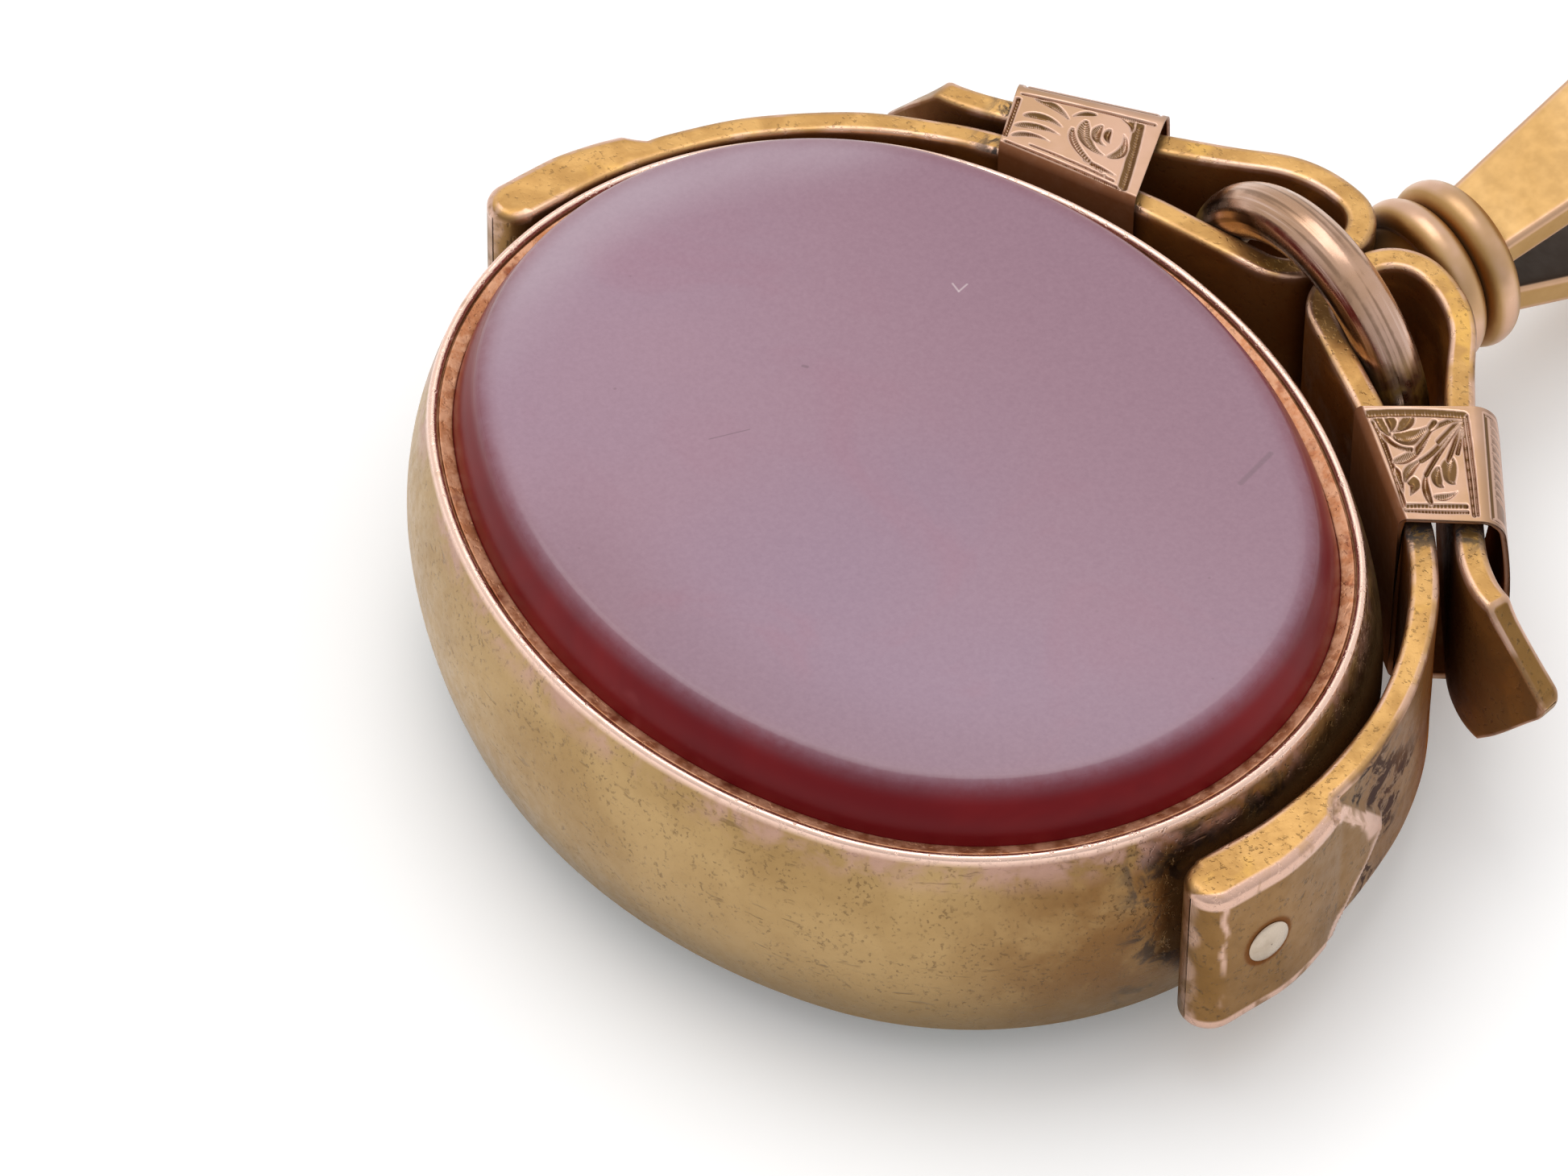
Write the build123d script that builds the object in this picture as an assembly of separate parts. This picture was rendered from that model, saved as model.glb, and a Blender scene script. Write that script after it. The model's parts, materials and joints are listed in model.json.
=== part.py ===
from build123d import *
import os
from math import atan2, cos, degrees, radians, sin, tan

# Antique gold spinner fob lying flat: an oval bezel with a stone in each face turns on two pins
# in a yoke of two folded straps, which loop round a ring under a beaded collar and a bail.
# Millimetres. X runs through both pins, Y from the oval to the bail, Z up through the stones.
# The model is laid out about the middle of the oval, and moved to its resting place at the end.

# Bezel, measured at the crest of its rim
crest_length = 23.86
crest_width = 19.58
end_fullness = 0.918
bezel_height = 5.98
wall_bulge = 0.64
rim_roll = 0.13
rim_width = 0.47
rim_drop = 0.2
groove_width = 0.09
groove_depth = 0.1
bore_inset = 0.3
lip_height = 0.35
ledge_width = 1.3
ledge_height = 1.2

# Stones
stone_rise = 1.26
bevel_width = 0.6
bevel_round = 0.07
table_edge = 0.05
stone_clearance = 0.03

# Straps: ribbons on edge
strap_height = 4.64
strap_thickness = 0.7
strap_gap = 0.1
pad_below_pin = 1.8
pad_shoulder = 2.48
pad_point = 2.0
loop_gap = 0.06
tail_setback = 1.8

# Route of a strap's middle line from the pad to the tip of its tail, corner by corner.
# Columns: share of the oval's half length (or a named place), share of its half width,
# thicknesses of strap between that and the line, as the strap comes back over itself,
# and the share of the shorter run beside the corner that its bend takes.
strap_corners = [
    ("pad", None, 0, 0),
    ("pad", 0.6, 0, 0.9),
    (0.6574, 0.9597, 0, 0.12),
    (0.3655, 1.1111, 0, 0.2),
    ("middle", 1.241, 0, 0.31),
    ("middle", 1.4553, 1, 0.48),
    (0.2389, 1.4505, 1, 0.5),
    (0.409, 1.256, 1, 0.48),
    (0.7773, 0.9265, 1, 0.45),
    (0.8776, 0.883, 1, 0.48),
    (1.038, 0.924, 1, 0),
]
keeper_inner_run = 2
keeper_outer_run = 7
loop_run = 4

# Keepers: sleeves round both layers, with a crowned outer side
keeper_wall = 0.14
keeper_slack = 0.03
keeper_outer_slack = 0.26
keeper_crown = 0.3
keeper_lift = 0.28
keeper_edge = 0.2
keeper_outer_edge = 0.45
keeper_inner_span = (0.02, 1.0)
keeper_outer_span = (0.18, 0.86)

# Ring, standing across both loops
ring_wire = 1.4
ring_seat = 0.33

# Pins
pin_shaft = 0.7
pin_head = 1.14
pin_head_height = 0.13
pin_head_dome = 0.05
pin_fit = 0.03
pin_tip_gap = 0.15

# Bail: foot, two beads and a band loop
foot_depth = 0.55
foot_clearance = 0.04
bead_diameter = 4.34
bead_width = 1.05
collar_gap = 0.18
bail_thickness = 0.82
bail_root_radius = 0.5
bail_end_radius = 2.65
bail_half_angle = 15.6
bail_root_width = 2.15
bail_flare = 5.6
bail_width = 3.45
bail_end_width = 2.95
bail_root_gap = 0.6
bail_edge = 0.1

# Sizes that follow from those above
half_length = crest_length / 2
half_width = crest_width / 2
half_height = bezel_height / 2
end_radius = end_fullness * half_width
end_centre = half_length - end_radius
side_radius = (end_centre**2 + half_width**2 - end_radius**2) / (2 * (half_width - end_radius))
side_centre = side_radius - half_width
join_angle = degrees(atan2(side_centre, end_centre))
table_height = half_height + stone_rise
bore_top = half_height - rim_drop - lip_height
half_strap = strap_thickness / 2
pad_inner = half_length + wall_bulge + strap_gap
pad_outer = pad_inner + 2 * strap_thickness


def around_oval(profile):
    """Carry a face drawn as (distance outside the crest, height) round the oval."""
    sectors = [
        ((end_centre, 0), end_radius, -join_angle, 2 * join_angle),
        ((0, -side_centre), side_radius, join_angle, 180 - 2 * join_angle),
        ((-end_centre, 0), end_radius, 180 - join_angle, 2 * join_angle),
        ((0, side_centre), side_radius, 180 + join_angle, 180 - 2 * join_angle),
    ]
    body = None
    for (x, y), radius, start, sweep in sectors:
        upright = Plane(origin=(x, y, 0), x_dir=(cos(radians(start)), sin(radians(start)), 0),
                        z_dir=(sin(radians(start)), -cos(radians(start)), 0))
        sector = revolve(upright * Pos(radius, 0) * profile, Axis((x, y, 0), (0, 0, 1)), sweep)
        body = sector if body is None else body + sector
    return body


def oval_slab(grow, low, high):
    """Flat slab with the oval outline, grow outside the crest, between two heights."""
    join_x = end_centre + (end_radius + grow) * cos(radians(join_angle))
    join_y = (end_radius + grow) * sin(radians(join_angle))
    reach_x = half_length + grow
    reach_y = half_width + grow
    outline = [
        ThreePointArc((join_x, -join_y), (reach_x, 0), (join_x, join_y)),
        ThreePointArc((join_x, join_y), (0, reach_y), (-join_x, join_y)),
        ThreePointArc((-join_x, join_y), (-reach_x, 0), (-join_x, -join_y)),
        ThreePointArc((-join_x, -join_y), (0, -reach_y), (join_x, -join_y)),
    ]
    return extrude(Pos(0, 0, low) * make_face(outline), high - low)


def mirrored(shape):
    """The same shape on the other side of the fob."""
    return mirror(shape, Plane.YZ)


def pin_axis_cylinder(radius, start, end):
    """Round bar on the spin axis between two X positions."""
    return Pos((start + end) / 2, 0, 0) * Rot(0, 90, 0) * Cylinder(radius, end - start)


def make_bezel():
    """Barrel band with a rolled rim, a fine groove and a rubbed-over lip on both faces."""
    roll_side = half_height - rim_roll
    lip_top = half_height - rim_drop
    groove_near = -rim_roll - groove_width / 2
    groove_far = -rim_roll - groove_width
    ledge_in = -bore_inset - ledge_width
    half_ledge = ledge_height / 2
    upper = [
        (-rim_roll, roll_side),
        (groove_near, roll_side - groove_depth),
        (groove_far, roll_side),
        (-rim_width, lip_top),
        (-bore_inset, bore_top),
        (-bore_inset, half_ledge),
        (ledge_in, half_ledge),
    ]
    lower = [(x, -z) for x, z in reversed(upper)]
    profile = make_face([
        ThreePointArc((rim_roll, -roll_side), (wall_bulge, 0), (rim_roll, roll_side)),
        ThreePointArc((rim_roll, roll_side), (0, half_height), (-rim_roll, roll_side)),
        Polyline(*upper, *lower),
        ThreePointArc((-rim_roll, -roll_side), (0, -half_height), (rim_roll, -roll_side)),
    ])
    body = around_oval(profile)
    bore = pin_axis_cylinder(pin_shaft / 2 + pin_fit, half_length + ledge_in - 1, pad_inner)
    return body - bore - mirrored(bore)


def make_stone():
    """Upper stone: a girdle inside the rim, a soft bevel and a raised flat table."""
    seat = ledge_height / 2
    girdle = -bore_inset - stone_clearance
    rim_edge = -rim_width - stone_clearance
    rim_level = half_height - rim_drop
    table_in = rim_edge - bevel_width
    core_in = table_in - table_edge - bevel_width
    bevel_mid = (rim_edge + table_in) / 2 + bevel_round
    level_mid = (rim_level + table_height - table_edge) / 2 + bevel_round
    profile = make_face([
        Polyline((core_in, table_height), (core_in, seat), (girdle, seat), (girdle, bore_top),
                 (rim_edge, rim_level)),
        ThreePointArc((rim_edge, rim_level), (bevel_mid, level_mid), (table_in, table_height - table_edge)),
        Polyline((table_in, table_height - table_edge), (table_in - table_edge, table_height),
                 (core_in, table_height)),
    ])
    return around_oval(profile) + oval_slab(core_in, seat, table_height)


def strap_route():
    """Corner points of the right strap's middle line."""
    pad_x = pad_inner + half_strap
    middle_x = loop_gap / 2 + half_strap
    nose_y = strap_thickness - pad_below_pin
    route = []
    for across, along, layers, _ in strap_corners:
        x = {"pad": pad_x, "middle": middle_x}.get(across) or across * half_length
        y = nose_y if along is None else along * half_width + layers * strap_thickness
        route.append(Vector(x, y))
    return route


def corner_normals(route):
    """Sideways direction at each corner, to the left, scaled so that both runs shift by one."""
    normals = []
    for i, point in enumerate(route):
        before = (point - route[i - 1]).normalized() if i else (route[1] - point).normalized()
        after = (route[i + 1] - point).normalized() if i < len(route) - 1 else before
        half_turn = radians(before.get_angle(after) / 2)
        normals.append((before + after).normalized().rotate(Axis.Z, 90) / cos(half_turn))
    return normals


def bent_line(points, radii):
    """Straight runs through the points, joined by tangent arcs of the given radii."""
    edges = []
    start = points[0]
    for before, corner, after, radius in zip(points, points[1:], points[2:], radii):
        into = (corner - before).normalized()
        out = (after - corner).normalized()
        half_turn = radians(into.get_angle(out) / 2)
        reach = radius * tan(half_turn)
        middle = corner + (out - into).normalized() * radius * (1 / cos(half_turn) - 1)
        edges.append(Line(start, corner - into * reach))
        edges.append(ThreePointArc(corner - into * reach, middle, corner + out * reach))
        start = corner + out * reach
    return edges + [Line(start, points[-1])]


def side_line(route, shift, last):
    """One side of a ribbon on the first corners of the route, shift to the left of the middle."""
    points = [point + normal * shift for point, normal in zip(route, corner_normals(route))]
    radii = []
    for i in range(1, last - 1):
        before = route[i] - route[i - 1]
        after = route[i + 1] - route[i]
        room = min(before.length, after.length)
        bend = strap_corners[i][-1] * room / tan(radians(before.get_angle(after) / 2))
        left_turn = before.X * after.Y - before.Y * after.X > 0
        radii.append(bend - shift if left_turn else bend + shift)
    return bent_line(points[:last], radii)


def ribbon(left, right, height, last=None):
    """Ribbon on edge along the route of the right strap, between two sides of its middle line."""
    route = strap_route()
    last = last or len(route)
    left_side = side_line(route, left, last)
    right_side = side_line(route, right, last)
    face = make_face([
        *left_side,
        Line(left_side[-1] @ 1, right_side[-1] @ 1),
        *right_side,
        Line(right_side[0] @ 0, left_side[0] @ 0),
    ])
    return extrude(Pos(0, 0, -height / 2) * face, height)


def make_strap():
    """Right strap: folded pad with a pointed end, the long loop and a pointed tail."""
    route = strap_route()
    half_tall = strap_height / 2
    body = ribbon(half_strap, -half_strap, strap_height)
    tail = route[-1]
    tail_low = route[-2].Y - strap_thickness
    tail_start = tail.X - tail_setback
    for side in (1, -1):
        corner = make_face(Polyline((tail_start, side * half_tall), (tail.X, 0), (tail.X + 1, 0),
                                    (tail.X + 1, side * (half_tall + 1)),
                                    (tail_start, side * (half_tall + 1)), close=True))
        body -= extrude(Plane.XZ.offset(-tail.Y - 1) * corner, tail.Y + 1 - tail_low)
    pad = ribbon(-half_strap, -half_strap - strap_thickness, strap_height, last=3)
    point_end = pad_shoulder + pad_point
    side_view = make_face(Polyline((-pad_below_pin, -half_tall), (pad_shoulder, -half_tall), (point_end, 0),
                                   (pad_shoulder, half_tall), (-pad_below_pin, half_tall), close=True))
    pad &= extrude(Plane.YZ.offset(half_length) * side_view, pad_outer)
    nose = Pos(pad_inner + strap_thickness, route[0].Y, 0) * Cylinder(strap_thickness, strap_height)
    body = body + pad + nose
    return body - pin_axis_cylinder(pin_shaft / 2 + pin_fit, half_length, pad_outer + 1)


def run_point(first, share, shift):
    """Point on a straight run of the route, shift to the left of its middle line."""
    route = strap_route()
    run = route[first + 1] - route[first]
    return route[first] + run * share + run.normalized().rotate(Axis.Z, 90) * shift


def keeper_block(wall, stretch=0):
    """Block round both layers inside the keeper, wall larger than its opening, with a crowned outer side."""
    inner_start, inner_end = keeper_inner_span
    outer_start, outer_end = keeper_outer_span
    half_tall = strap_height / 2 + keeper_lift + wall
    inner_shift = half_strap + keeper_slack + wall
    outer_shift = half_strap + keeper_outer_slack + wall
    corners = [
        run_point(keeper_inner_run, inner_start - stretch, inner_shift),
        run_point(keeper_inner_run, inner_end + stretch, inner_shift),
        run_point(keeper_outer_run, outer_start - stretch, outer_shift + keeper_crown),
        run_point(keeper_outer_run, outer_end + stretch, outer_shift + keeper_crown),
    ]
    plan = extrude(Pos(0, 0, -half_tall) * make_face(Polyline(*corners, close=True)), 2 * half_tall)
    start = run_point(keeper_outer_run, -1, outer_shift)
    end = run_point(keeper_outer_run, 2, outer_shift)
    along = (end - start).normalized()
    section = make_face([
        ThreePointArc((0, -half_tall), (keeper_crown, 0), (0, half_tall)),
        Polyline((0, half_tall), (-half_width, half_tall), (-half_width, -half_tall), (0, -half_tall)),
    ])
    across_run = Plane(origin=start, x_dir=along.rotate(Axis.Z, 90), z_dir=along)
    block = plan & extrude(across_run * section, (end - start).length)
    return fillet(long_edges(block)[2:], keeper_outer_edge - keeper_wall + wall)


def long_edges(block):
    """Edges of a keeper's block that follow the strap, those of its inner side first."""
    run_length = (run_point(keeper_inner_run, 1, 0) - run_point(keeper_inner_run, 0, 0)).length
    edges = [edge for edge in block.edges()
             if abs(edge.tangent_at(0).Z) < 0.5 and edge.length > 0.6 * run_length
             and abs(edge.tangent_at(0).X) > 0.75]
    return sorted(edges, key=lambda edge: edge.center().Y)


def make_keeper():
    """Right keeper: a thin sleeve that holds the two layers of the strap together."""
    block = keeper_block(keeper_wall)
    block = fillet(long_edges(block)[:2], keeper_edge)
    return block - keeper_block(0, 0.5)


def make_ring():
    """Round wire ring, upright across the two loops."""
    seat_y = strap_route()[loop_run].Y + ring_seat
    return Pos(0, seat_y, 0) * Rot(90, 0, 0) * Torus(table_height - ring_wire / 2, ring_wire / 2)


def make_pin():
    """Right pin: a shaft through pad and bezel wall, under a low domed head."""
    shaft_end = half_length - bore_inset - ledge_width + pin_tip_gap
    shaft = pin_axis_cylinder(pin_shaft / 2, shaft_end, pad_outer + pin_head_height / 2)
    head = pin_axis_cylinder(pin_head / 2, pad_outer, pad_outer + pin_head_height)
    top_edge = head.edges().sort_by(Axis.X)[-1]
    return shaft + fillet(top_edge, pin_head_dome)


def loop_top():
    """Furthest reach of the strap loops along Y."""
    return strap_route()[loop_run + 1].Y + half_strap


def make_bail():
    """Foot between the loops, two beads, and a pear-shaped loop of flat band."""
    bead_radius = bead_width / 2
    foot_radius = bead_diameter / 2 - bead_radius
    foot_start = loop_top() - foot_depth
    first_bead = loop_top() + collar_gap + bead_radius
    root_y = first_bead + bead_width + bead_radius + bail_root_gap
    foot = Pos(0, (foot_start + root_y - bail_root_gap) / 2, 0) * Rot(90, 0, 0) * Cylinder(
        foot_radius, root_y - bail_root_gap - foot_start)
    seat = ribbon(half_strap + foot_clearance, -half_strap, strap_height + 1)
    body = foot - seat - mirrored(seat)
    for centre in (first_bead, first_bead + bead_width):
        body += Pos(0, centre, 0) * Rot(90, 0, 0) * Torus(foot_radius, bead_radius)
    return body + bail_band(root_y)


def pear(root_y, end_y, root_radius, tip_radius, width):
    """Pear-shaped block: two rounds with their tangent sides, seen along X."""
    lean = radians(bail_half_angle)
    outline = [
        ThreePointArc((root_y - root_radius * sin(lean), -root_radius * cos(lean)), (root_y - root_radius, 0),
                      (root_y - root_radius * sin(lean), root_radius * cos(lean))),
        Line((root_y - root_radius * sin(lean), root_radius * cos(lean)),
             (end_y - tip_radius * sin(lean), tip_radius * cos(lean))),
        ThreePointArc((end_y - tip_radius * sin(lean), tip_radius * cos(lean)), (end_y + tip_radius, 0),
                      (end_y - tip_radius * sin(lean), -tip_radius * cos(lean))),
        Line((end_y - tip_radius * sin(lean), -tip_radius * cos(lean)),
             (root_y - root_radius * sin(lean), -root_radius * cos(lean))),
    ]
    return extrude(Plane.YZ.offset(-width / 2) * make_face(outline), width)


def bail_reach(root_y):
    """Middle of the round end of the bail."""
    return root_y + (bail_end_radius - bail_root_radius) / sin(radians(bail_half_angle))


def bail_band(root_y):
    """Flat band loop, wider from its root outwards."""
    end_y = bail_reach(root_y)
    tip_y = end_y + bail_end_radius + bail_thickness
    band = pear(root_y, end_y, bail_root_radius + bail_thickness, bail_end_radius + bail_thickness, bail_width)
    root_start = root_y - bail_root_radius - bail_thickness
    widest_y = root_start + (bail_width - bail_root_width) / 2 / tan(radians(bail_flare))
    plan = make_face(Polyline(
        (-bail_root_width / 2, root_start), (bail_root_width / 2, root_start), (bail_width / 2, widest_y),
        (bail_end_width / 2, tip_y), (-bail_end_width / 2, tip_y), (-bail_width / 2, widest_y), close=True))
    band &= extrude(Pos(0, 0, -bail_end_radius - bail_thickness) * plan, 2 * (bail_end_radius + bail_thickness))
    band -= pear(root_y, end_y, bail_root_radius, bail_end_radius, 2 * bail_width)
    side_edges = [edge for edge in band.edges() if edge.center().Y > root_y and abs(edge.center().X) > 0.1]
    return fillet(side_edges, bail_edge)


def fob_reach():
    """Furthest point of the bail along Y."""
    first_bead = loop_top() + collar_gap + bead_width / 2
    root_y = first_bead + 1.5 * bead_width + bail_root_gap
    return bail_reach(root_y) + bail_end_radius + bail_thickness


upper_stone = make_stone()
strap = make_strap()
keeper = make_keeper()
pin = make_pin()
nodes = {
    "bezel": make_bezel(),
    "stone_front": upper_stone,
    "stone_back": mirror(upper_stone, Plane.XY),
    "strap_right": strap,
    "strap_left": mirrored(strap),
    "keeper_right": keeper,
    "keeper_left": mirrored(keeper),
    "ring": make_ring(),
    "bail": make_bail(),
    "pin_right": pin,
    "pin_left": mirrored(pin),
}

# The fob rests on the table of its lower stone, with the middle of its length over the origin
middle_y = (fob_reach() - half_width - wall_bulge) / 2
os.makedirs("parts", exist_ok=True)
for name, solid in nodes.items():
    export_step(Pos(0, -middle_y, table_height) * solid, f"parts/{name}.step")
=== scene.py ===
import json
from math import atan2, cos, hypot, pi, radians, sin, tan

import bpy
import numpy as np
from mathutils import Matrix, Vector


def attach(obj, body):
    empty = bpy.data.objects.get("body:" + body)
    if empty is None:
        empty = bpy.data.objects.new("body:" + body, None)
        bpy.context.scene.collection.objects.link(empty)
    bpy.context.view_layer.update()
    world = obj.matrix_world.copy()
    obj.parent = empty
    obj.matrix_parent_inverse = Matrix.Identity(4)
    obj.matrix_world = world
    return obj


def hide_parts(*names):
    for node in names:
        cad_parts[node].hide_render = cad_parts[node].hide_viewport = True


# Antique gold spinner fob lying flat, with a carnelian upwards. Sizes here are in millimetres
# about the middle of the oval, as in the part's source, and to_frame brings them to the frame.
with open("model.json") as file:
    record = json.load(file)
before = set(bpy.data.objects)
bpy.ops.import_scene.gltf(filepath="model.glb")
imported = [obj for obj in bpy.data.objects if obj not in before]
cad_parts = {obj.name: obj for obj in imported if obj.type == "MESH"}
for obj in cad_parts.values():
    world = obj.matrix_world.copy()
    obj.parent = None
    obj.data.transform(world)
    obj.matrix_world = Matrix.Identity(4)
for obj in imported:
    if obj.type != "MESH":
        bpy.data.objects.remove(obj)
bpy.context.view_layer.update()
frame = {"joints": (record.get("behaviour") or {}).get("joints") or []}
oval_middle = Vector(frame["joints"][0]["pos_m"])
mm = 0.001

# Bezel
crest_length, crest_width, end_fullness = 23.86, 19.58, 0.918
bezel_height, wall_bulge, rim_roll = 5.98, 0.64, 0.13
rim_width, rim_drop, roll_inside, groove_width, lip_slope = 0.47, 0.2, 0.1, 0.04, 0.09
bore_inset, lip_height, ledge_width, ledge_height = 0.3, 0.35, 1.3, 1.2
pin_play, pin_reach = 0.03, 3.0

# Soft corners of the lip: distances inwards from its outer edge and down, and outwards from the stone and up
lip_outer_corner = [(0.003, 0.018), (0.012, 0.005), (0.028, 0), (0.04, 0.002)]
lip_inner_corner = [(0.03, 0.012), (0.012, 0.004), (0, -0.012)]
lip_step, groove_lift = 0.05, 0.03

# Stones
stone_rise, bevel_width, table_round, bevel_swell = 1.26, 0.6, 0.42, 0.07
stone_clearance, rim_clearance, table_core = 0.03, 0.006, 0.3

# Straps. A corner is its place across (a share of the oval's half length, or by name), its place along
# (a share of the oval's half width), the layers of strap under it and the share of the runs it rounds off
strap_height, strap_thickness, strap_gap = 4.64, 0.7, 0.1
pad_below_pin, pad_shoulder, pad_point = 1.8, 2.48, 2.0
loop_gap, tail_setback, strap_edge, pad_edge, tail_tip = 0.06, 1.8, 0.15, 0.27, 0.6
loop_to_tip, strap_wave, strap_dent = 15.0, 2.6, 0.022
layer_thinning, thinning_start, thinnest_tip = 0.55, 0.3, 0.02
strap_corners = [
    ("pad", None, 0, 0),
    ("pad", 0.6, 0, 0.9),
    (0.6574, 0.9597, 0, 0.12),
    (0.3655, 1.1111, 0, 0.2),
    ("middle", 1.241, 0, 0.31),
    ("middle", 1.4553, 1, 0.48),
    (0.2389, 1.4505, 1, 0.5),
    (0.409, 1.256, 1, 0.48),
    (0.7773, 0.9265, 1, 0.45),
    (0.8776, 0.883, 1, 0.48),
    (1.038, 0.924, 1, 0),
]

# The far strap's tail is bent out less
far_strap_corners = strap_corners[:-2] + [(0.872, 0.873, 1, 0.48), (1.006, 0.878, 1, 0)]

# Keepers
keeper_inner_run, keeper_outer_run, loop_run = 2, 7, 4
keeper_wall, keeper_slack, keeper_outer_slack, keeper_lift = 0.14, 0.03, 0.26, 0.28
keeper_crown, keeper_edge, keeper_outer_edge = 0.3, 0.22, 0.5
keeper_inner_span, keeper_outer_span = (0.02, 1.0), (0.18, 0.86)
cut_deep, bend_share, border_inset, border_wide = 0.1, 0.13, 0.05, 0.012

# Points of an engraved stroke and how much wider than its line it is cut
leaf_cut, line_cut = (24, 1.12), (70, 1.35)

# Ring, pins and bail
ring_wire, ring_seat, ring_wave, ring_dent = 1.4, 0.33, 3.0, 0.018
pin_shaft, pin_head, pin_head_height, pin_inlet, pin_sunk, dome_power = 0.7, 1.14, 0.13, 0.15, 0.02, 3.2
foot_depth, bead_diameter, bead_width, collar_gap = 0.55, 4.34, 1.05, 0.18
bail_thickness, bail_root_radius, bail_end_radius, bail_edge = 0.82, 0.5, 2.65, 0.16
bail_half_angle, bail_root_width, bail_flare = 15.6, 2.15, 5.6
bail_width, bail_end_width, bail_root_gap = 3.45, 2.95, 0.6

# Points round the pieces
bezel_turns, stone_turns, ring_turns, ring_sides = 560, 320, 220, 72
pin_turns, collar_turns, bail_turns, bore_turns = 72, 180, 300, 32

half_length, half_width, half_height = crest_length / 2, crest_width / 2, bezel_height / 2
end_radius = end_fullness * half_width
end_centre = half_length - end_radius
side_radius = (end_centre**2 + half_width**2 - end_radius**2) / (2 * (half_width - end_radius))
side_centre = side_radius - half_width
join_angle = atan2(side_centre, end_centre)
table_height = half_height + stone_rise
bore_top = half_height - rim_drop - lip_height
half_strap, half_tall = strap_thickness / 2, strap_height / 2
pad_inner = half_length + wall_bulge + strap_gap
pad_outer = pad_inner + 2 * strap_thickness
keeper_half_tall = half_tall + keeper_lift + keeper_wall


# Mesh helpers

def to_frame(points):
    return np.asarray(points, float) * mm + np.array(oval_middle)


def grid_faces(rows, columns, wrap_rows=False, wrap_columns=False, first=0):
    """Quads of a grid of points stored row by row."""
    r = np.arange(rows if wrap_rows else rows - 1)
    c = np.arange(columns if wrap_columns else columns - 1)
    r, c = np.meshgrid(r, c, indexing="ij")
    r2, c2 = (r + 1) % rows, (c + 1) % columns
    quads = np.stack([r * columns + c, r * columns + c2, r2 * columns + c2, r2 * columns + c], -1)
    return (quads.reshape(-1, 4) + first).tolist()


def read(items, key, width, kind=float):
    """A property of all vertices, edges or triangles of a mesh, one row for each."""
    out = np.empty(len(items) * width, kind)
    items.foreach_get(key, out)
    return out.reshape(-1, width)


def places(piece):
    """Vertices in millimetres about the middle of the oval."""
    return (read(piece.data.vertices, "co", 3) - np.array(oval_middle)) / mm


def normals(piece):
    return read(piece.data.vertex_normals, "vector", 3)


def add(name, data):
    """Put a mesh, light or camera into the scene."""
    item = bpy.data.objects.new(name, data)
    bpy.context.scene.collection.objects.link(item)
    return item


def make_mesh(name, points, faces):
    """Closed smooth mesh with its normals turned outwards."""
    mesh = bpy.data.meshes.new(name)
    mesh.from_pydata(to_frame(points).tolist(), [], faces)
    mesh.validate()
    mesh.shade_smooth()
    piece = add(name, mesh)
    mesh.calc_loop_triangles()
    if np.linalg.det(places(piece)[read(mesh.loop_triangles, "vertices", 3, int)]).sum() < 0:
        mesh.flip_normals()
    return piece


def wander(points, size, seed):
    """Smooth low undulation over 3-D points, between about -1 and 1, from a few sine waves."""
    rng = np.random.default_rng(seed)
    value = np.zeros(len(points))
    for _ in range(7):
        direction = rng.normal(size=3)
        direction /= np.linalg.norm(direction)
        wave = 2 * pi / (size * rng.uniform(0.6, 1.6))
        value += np.sin(points @ direction * wave + rng.uniform(0, 2 * pi))
    return value / 4


def uneven(piece, size, depth, seed, share):
    """Move the surface in and out a little, in soft waves of the given size, both in millimetres."""
    co = read(piece.data.vertices, "co", 3)
    co += normals(piece) * (wander(co / mm, size, seed) * depth * mm * share)[:, None]
    piece.data.vertices.foreach_set("co", co.ravel())
    piece.data.update()


def store(piece, **values):
    """Keep numbers for every point of the surface, which the material reads by name."""
    for name, numbers in values.items():
        attribute = piece.data.attributes.new(name, "FLOAT", "POINT")
        attribute.data.foreach_set("value", np.asarray(numbers, np.float32).ravel())


def curvature(piece):
    """Store how sharply the surface bends outwards at each point, per millimetre."""
    co, no = read(piece.data.vertices, "co", 3) / mm, normals(piece)
    i, j = read(piece.data.edges, "vertices", 2, int).T
    step = co[j] - co[i]
    square = np.maximum(np.einsum("ij,ij->i", step, step), 1e-9)
    ridge = np.zeros(len(co))
    np.maximum.at(ridge, i, -2 * np.einsum("ij,ij->i", no[i], step) / square)
    np.maximum.at(ridge, j, 2 * np.einsum("ij,ij->i", no[j], step) / square)
    store(piece, ridge=ridge)


def finish_piece(piece, body, slot, material, *nodes):
    piece.data.materials.clear()
    piece.data.materials.append(material)
    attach(piece, body)
    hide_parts(*nodes)


def boolean(piece, other, operation):
    """Cut or join with another closed mesh, which is then removed."""
    modifier = piece.modifiers.new("boolean", "BOOLEAN")
    modifier.operation, modifier.solver, modifier.object = operation, "EXACT", other
    applied = piece.evaluated_get(bpy.context.evaluated_depsgraph_get())
    mesh = bpy.data.meshes.new_from_object(applied)
    piece.modifiers.clear()
    piece.data = mesh
    mesh.shade_smooth()
    bpy.data.objects.remove(other)


def smooth(value, low, high):
    """Soft step from 0 at low to 1 at high."""
    share = np.clip((np.asarray(value, float) - low) / (high - low), 0, 1)
    return share * share * (3 - 2 * share)


def arc(centre, radius, start, end, count):
    angles = np.linspace(start, end, count)
    return [(centre[0] + radius * cos(a), centre[1] + radius * sin(a)) for a in angles]


def straight(a, b, step):
    """Points of a straight run, about one step apart."""
    return np.linspace(a, b, max(1, round(np.hypot(*np.subtract(b, a)) / step)) + 1).tolist()


def travelled(line):
    """Distance along a line at each of its points."""
    return np.append(0, np.cumsum(np.linalg.norm(np.diff(line, axis=0), axis=1)))


def on_line(line, at):
    """Points of a line at the given distances along it."""
    along = travelled(line)
    return np.column_stack([np.interp(at, along, line[:, k]) for k in (0, 1)])


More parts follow.
